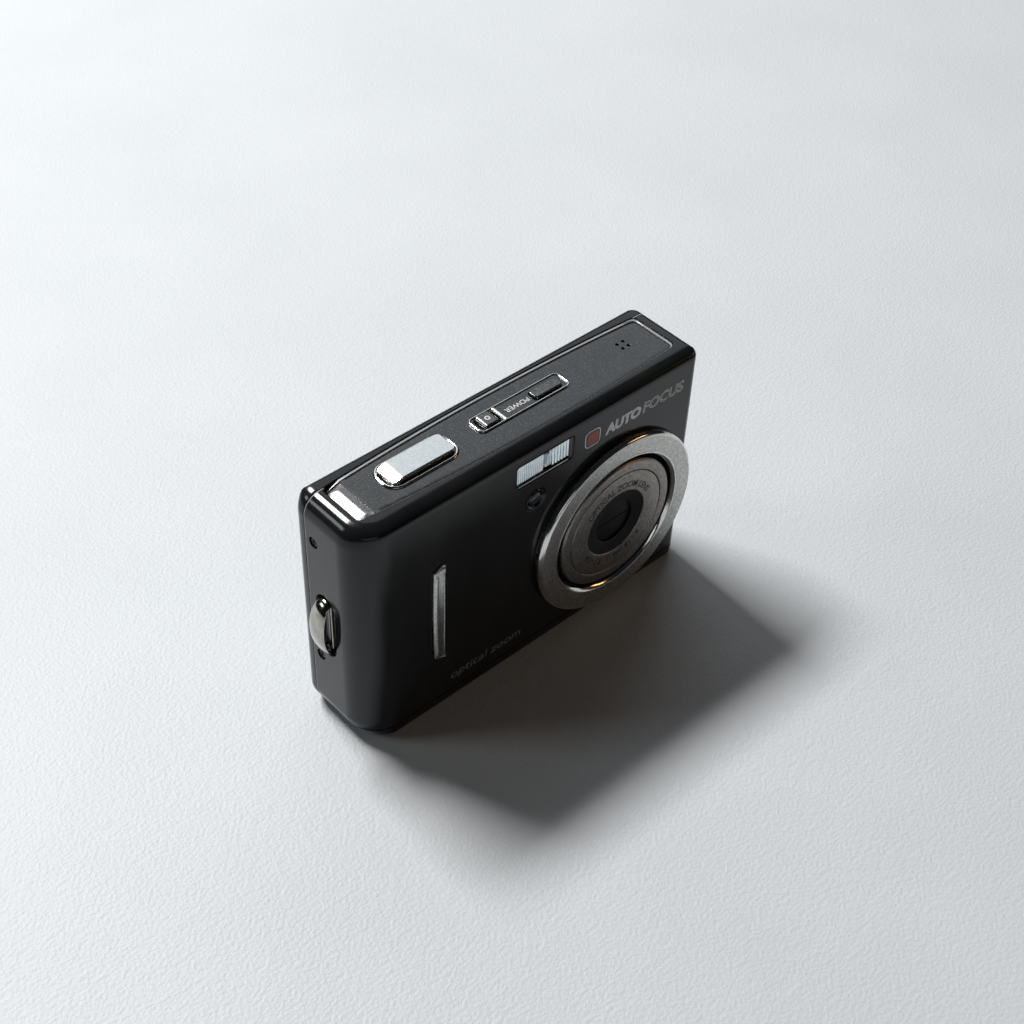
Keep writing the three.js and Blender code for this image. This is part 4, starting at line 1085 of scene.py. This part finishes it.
def front_lettering():
    """The words on the front, and a small square badge beside them."""
    low, high = 50.9, 53.7
    bold = letters("name_bold", "AUTO", (18.2, low), (28.6, high), on_front, 0.06, slant=0.12)
    printed(bold, PRINT_LIGHT)
    outline = letters("name_outline", "FOCUS", (29.2, low), (41.3, high), on_front, hollow=0.022, slant=0.12)
    printed(outline, PRINT_LIGHT)
    feature = letters("feature_name", "optical zoom", (-22.7, 5.2), (-3.1, 8.2), on_front, slant=0.15)
    printed(feature, PRINT_DIM)
    middle = (14.7, 52.4)
    section = [(0, FRONT + 0.1), (0, FRONT - 0.03), (-0.08, FRONT - 0.06), (-0.24, FRONT - 0.06),
               (-0.3, FRONT - 0.03), (-0.3, FRONT + 0.1)]
    piece(frame_ring("badge_rim", "y", *spans(middle, 2.2, 2.2), 1.3, section), PRINT_LIGHT)
    layers = [(0, FRONT + 0.1), (0, FRONT - 0.03), (-0.1, FRONT - 0.06), (-0.5, FRONT - 0.085)]
    piece(pill("badge_inlay", "y", *spans(middle, 1.6, 1.6), 0.9, layers), BRICK_RED)


# ---------- strap lug
def strap_lug():
    """A domed bail swept over half an ellipse, with its pin and the dished cup behind it."""
    middle_y, middle_z = sum(LUG_Y) / 2, sum(LUG_Z) / 2
    half_y, half_z = (LUG_Y[1] - LUG_Y[0]) / 2, (LUG_Z[1] - LUG_Z[0]) / 2
    rings = []
    stations, foot_rings, sides = 48, 4, 24
    for k in range(-foot_rings, stations + foot_rings + 1):
        turn_by = math.pi * min(max(k / stations, 0), 1)
        beyond = min(k, 0) + max(k - stations, 0)
        swell = math.sin(turn_by)
        wide = half_y * (0.62 + 0.38 * swell ** 0.8)
        thick = 0.95 + 0.35 * swell
        ring = []
        for step in range(sides):
            spin = 2 * math.pi * step / sides
            out = math.cos(spin)
            bulge = thick * (0.5 + 0.5 * out) if out > 0 else thick * (0.5 + 0.28 * out)
            reach_x, reach_z = 3.5 - thick + bulge, half_z - thick + bulge
            x = -HALF_WIDTH + 0.5 - reach_x * swell + abs(beyond) * 0.3
            z = middle_z - reach_z * math.cos(turn_by)
            ring.append((x, middle_y + wide * math.sin(spin), z))
        rings.append(ring)
    piece(loft("strap_bail", rings), LUG_METAL, stands_for=["strap_lug"], angle=60)
    foot, head = LUG_Z
    layers = [(0.3, foot + 1.2), (0.5, foot + 1.4), (0.5, head - 1.4), (0.3, head - 1.2)]
    pin = disc("strap_pin", "z", (-HALF_WIDTH + 0.7, middle_y - 0.9), layers, 24)
    piece(pin, LUG_METAL)
    floor_x = -HALF_WIDTH + 1.25
    layers = [(0.4, floor_x + 1.0), (0.4, floor_x + 0.27), (-0.02, floor_x + 0.26), (-0.05, floor_x - 0.5),
              (-0.4, floor_x - 0.1), (-1.2, floor_x)]
    piece(pill("strap_cup", "x", *LUG_POCKET, layers), GLOSS_BLACK)


# ---------- screws, one recipe for all seven
def screws():
    layers = [(0.96, -0.7), (0.96, -0.14), (0.9, -0.04), (0.8, 0.0), (0.4, 0.03), (0.02, 0.04)]
    head = disc("screw_head", "z", (0, 0), layers, 40)
    for half_u, half_v in ((0.13, 0.62), (0.62, 0.13)):
        cut_out(head, [pill("cross_slot", "z", *spans((0, 0), half_u, half_v), 0.05,
                            [(-0.05, -0.42), (0.0, -0.1), (0.02, 0.2)], 2)])
    shade(head, 30, True)
    places = [((side * (HALF_WIDTH - 0.3), y, z), (side, 0, 0)) for side, y, z in SIDE_SCREWS]
    places += [((x, y, 0.3), (0, 0, -1)) for x, y in BASE_SCREWS]
    mesh = bpy.data.meshes.new("screw_heads")
    mesh.from_pydata([at for at, _ in places], [], [])
    facing = mesh.attributes.new("facing", "FLOAT_VECTOR", "POINT")
    for item, (_, way) in zip(facing.data, places):
        item.vector = way
    heads = added("screw_heads", mesh)
    recipe = Recipe("screw_heads", {"Head radius": 1.15})
    shape = recipe.node("GeometryNodeObjectInfo", transform_space="ORIGINAL")
    shape.inputs["Object"].default_value = head
    way = recipe.node("GeometryNodeInputNamedAttribute", data_type="FLOAT_VECTOR")
    way.inputs["Name"].default_value = "facing"
    align = recipe.node("FunctionNodeAlignRotationToVector", axis="Z")
    recipe.wire(way.outputs["Attribute"], align.inputs["Vector"])
    copies = recipe.node("GeometryNodeInstanceOnPoints")
    recipe.wire(recipe.start.outputs["Geometry"], copies.inputs["Points"])
    recipe.wire(shape.outputs["Geometry"], copies.inputs["Instance"])
    recipe.wire(align.outputs["Rotation"], copies.inputs["Rotation"])
    recipe.wire(recipe.start.outputs["Head radius"], copies.inputs["Scale"])
    recipe.close(copies.outputs["Instances"], STEEL_BLACK)
    recipe.run(heads)
    bpy.data.objects.remove(head)
    nodes = [name for name in frame["nodes"] if name.startswith(("side_screw", "base_screw"))]
    piece(heads, STEEL_BLACK, stands_for=nodes, angle=30)


# ---------- back
def rear_window():
    layers = [(0, 8.85), (0, 9.72), (-0.06, 9.83), (-0.18, 9.88), (-0.5, 9.9)]
    pane = pill("screen_window", "y", SCREEN_X, SCREEN_Z, 0.8, layers, 6)
    piece(pane, SCREEN_GLASS, stands_for=["lcd_window"])


def rear_keys():
    """The rear keys with their marks, a patch of thumb dots and a lamp."""
    top, edge = BACK + KEY_RISE, 0.3
    layers = [(0, KEY_FOOT), (0, top - edge), *((-out, top - edge + up) for out, up in rounding(edge, 5)),
              (-0.75, top - 0.02), (-1.3, top - 0.06)]
    middles = {}
    for name, (span_u, span_v, radius) in key_specs().items():
        cap = pill(name + "_cap", "y", span_u, span_v, radius, layers, 10)
        piece(cap, KEY_SILVER, name, [name])
        middles[name] = (-sum(span_u) / 2, sum(span_v) / 2)

    def mark(key, shape):
        printed(shape, PRINT_BLACK, key)

    for key, turn_by in (("up_key", 90), ("down_key", 270), ("left_key", 0), ("right_key", 180)):
        (u, v), a = middles[key], math.radians(turn_by)
        corners = [(u + 0.75 * math.cos(a + t), v + 0.75 * math.sin(a + t)) for t in (0, 2.2, -2.2)]
        mark(key, prism(key + "_arrow", corners, on_keys))
    for key, text, half_u, half_v in (("ok_button", "OK", 1.4, 0.7), ("menu_button", "MENU", 1.9, 0.5)):
        u, v = middles[key]
        mark(key, letters(key + "_word", text, (u - half_u, v - half_v), (u + half_u, v + half_v), on_keys))
    u, v = middles["playback_button"]
    corners = [(u - 0.6, v - 0.7), (u + 0.8, v), (u - 0.6, v + 0.7)]
    mark("playback_button", prism("playback_mark", corners, on_keys))
    for text, shift in (("W", -4.4), ("T", 4.4)):
        (u, v), name = middles["zoom_rocker"], "rocker_" + text
        box = (u + shift - 0.65, v - 0.7), (u + shift + 0.65, v + 0.7)
        mark("zoom_rocker", letters(name, text, *box, on_keys, 0.01))
    layers = [(0.42, -0.25), (0.42, 0.0), (0.36, 0.12), (0.22, 0.19), (0.04, 0.22)]
    dot = disc("thumb_dots", "y", (0, 0), layers, 20)
    array_of(dot, (6, 3), (2.2, 2.0), MATT_BLACK)
    moved(dot, KEYS_X - 0.6, BACK, 9.6)
    piece(dot, GLOSS_BLACK, angle=60)
    layers = [(0.62, BACK - 0.3), (0.62, BACK + 0.02), (0.45, BACK + 0.13), (0.2, BACK + 0.17),
              (0.03, BACK + 0.18)]
    piece(disc("status_lamp", "y", (-23.2, 46.2), layers, 24), STATUS_GREEN, angle=60)


# ---------- doors and underside
def battery_door():
    layers = [(0, 1.4), (0, 0.14), (-0.04, 0.05), (-0.14, 0.0)]
    door = pill("battery_door_panel", "z", DOOR_X, DOOR_Y, 0.5, layers, 5)
    slot = [(0, 3), (0, 0.12), (0.05, 0.04), (0.12, 0), (0.12, -1)]
    cut_out(door, [pill("latch_slot", "z", (-27.3, -17.2), (-3.9, -0.5), 0.5, slot, 4)])
    boxy_piece(door, GLOSS_BLACK, "battery_door", ["battery_door"])
    layers = [(0, 2.2), (0, 0.5), (-0.08, 0.38), (-0.25, 0.35)]
    slider = pill("door_latch_slider", "z", (-27, -19), (-3.6, -0.8), 0.35, layers, 4)
    boxy_piece(slider, MATT_BLACK, "door_latch", ["door_latch"])
    layers = [(0.05, 0.5), (0, 0.2), (-0.08, 0.12)]
    rib = pill("door_latch_ribs", "z", (-0.16, 0.16), (-1.1, 1.1), 0.15, layers, 3)
    array_of(rib, (5, 1), (0.85, 0), MATT_BLACK, "XY")
    moved(rib, -23, -2.2, 0)
    piece(rib, MATT_BLACK, "door_latch")
    u, v = -13.2, -2.2
    corners = [(u - 0.9, v - 1.0), (u + 1.1, v), (u - 0.9, v + 1.0)]
    printed(prism("door_arrow", corners, lambda x, y, depth: (x, y, -depth), 0.04), PRINT_DIM, "battery_door")


def port_cover():
    out = HALF_WIDTH
    layers = [(0, out - 1.4), (0, out - 0.14), (-0.05, out - 0.04), (-0.16, out)]
    flap = pill("port_cover_flap", "x", USB_Y, USB_Z, 0.6, layers, 5)
    notch = [(-0.2, out - 0.55), (-0.05, out - 0.4), (0.1, out - 0.05), (0.2, out + 1)]
    cut_out(flap, [pill("nail_notch", "x", (-3.9, -2.3), (42, 46), 0.7, notch, 5)])
    boxy_piece(flap, MATT_BLACK, "usb_port_cover", ["usb_port_cover"])
    mark = letters("port_cover_mark", "USB", (-1.3, -0.55), (1.3, 0.55),
                   lambda u, v, w: (out + w - 0.02, v + 0.6, 44 - u), 0.01, thickness=0.04)
    printed(mark, PRINT_DIM, "usb_port_cover")


def tripod_bush():
    """A steel bush with a chamfered mouth and a run of thread rings."""
    pitch, crest, root, floor_z = 1.27, 2.75, 3.15, 5.6
    profile = [(4.38, 6.6), (4.38, 0.25), (4.25, 0.12), (3.55, 0.12), (3.2, 0.5)]
    z = 0.6
    while z + pitch < floor_z:
        profile += [(root, z), (root, z + 0.15), (crest, z + pitch * 0.45), (crest, z + pitch * 0.62)]
        z += pitch
    profile += [(root, floor_z), (0.02, floor_z + 0.3), (0.02, 6.6)]
    rings = [placed("z", circle(TRIPOD, radius, 64), level) for radius, level in profile]
    piece(loft("tripod_thread", rings, closed=True), STEEL, stands_for=["tripod_bush"], angle=30)


def strip_marks():
    """The word between the two top keys, and the small ring on the mode key."""
    place = on_top(PLATE_TOP + 0.15, (3.8, 1.25))
    printed(letters("power_word", "POWER", (-3.1, -0.62), (3.1, 0.62), place, 0.01), PRINT_LIGHT)
    top = HEIGHT + 0.43
    layers = [(0.62, top - 0.1), (0.62, top + 0.03), (0.3, top + 0.03), (0.3, top - 0.1)]
    ring = disc("mode_mark", "z", (sum(MODE_X) / 2, sum(MODE_Y) / 2), layers, 24)
    printed(ring, PRINT_LIGHT, "mode_button")


# ---------- assembly
for build in (
    make_camera, make_lights, make_table, front_cover, rear_cover, bottom_plate, seam_band, top_plate,
    plate_edge, shutter_button, shutter_bezel, control_bezel, top_keys, lens_ring, barrels, cover_blades,
    lens_lettering, grip_bar, flash, focus_lamp, front_lettering, strap_lug, screws, rear_window, rear_keys,
    battery_door, port_cover, tripod_bush, strip_marks,
):
    build()

NODE_FINISH = {
    "gloss_black": GLOSS_BLACK, "gunmetal": GUNMETAL, "satin_silver": SATIN_SILVER,
    "warm_silver": WARM_SILVER, "chrome": CHROME, "matt_black": MATT_BLACK, "clear_glass": FLASH_PLASTIC,
    "dark_glass": DARK_GLASS, "steel": STEEL, "circuit_board": BOARD, "battery_label": WRAP,
    "card_plastic": CARD,
}
for part in frame["record"]["subparts"]:
    node = frame["nodes"][part["node"]]
    node.data.materials.clear()
    node.data.materials.append(NODE_FINISH[part["material_slot"]])
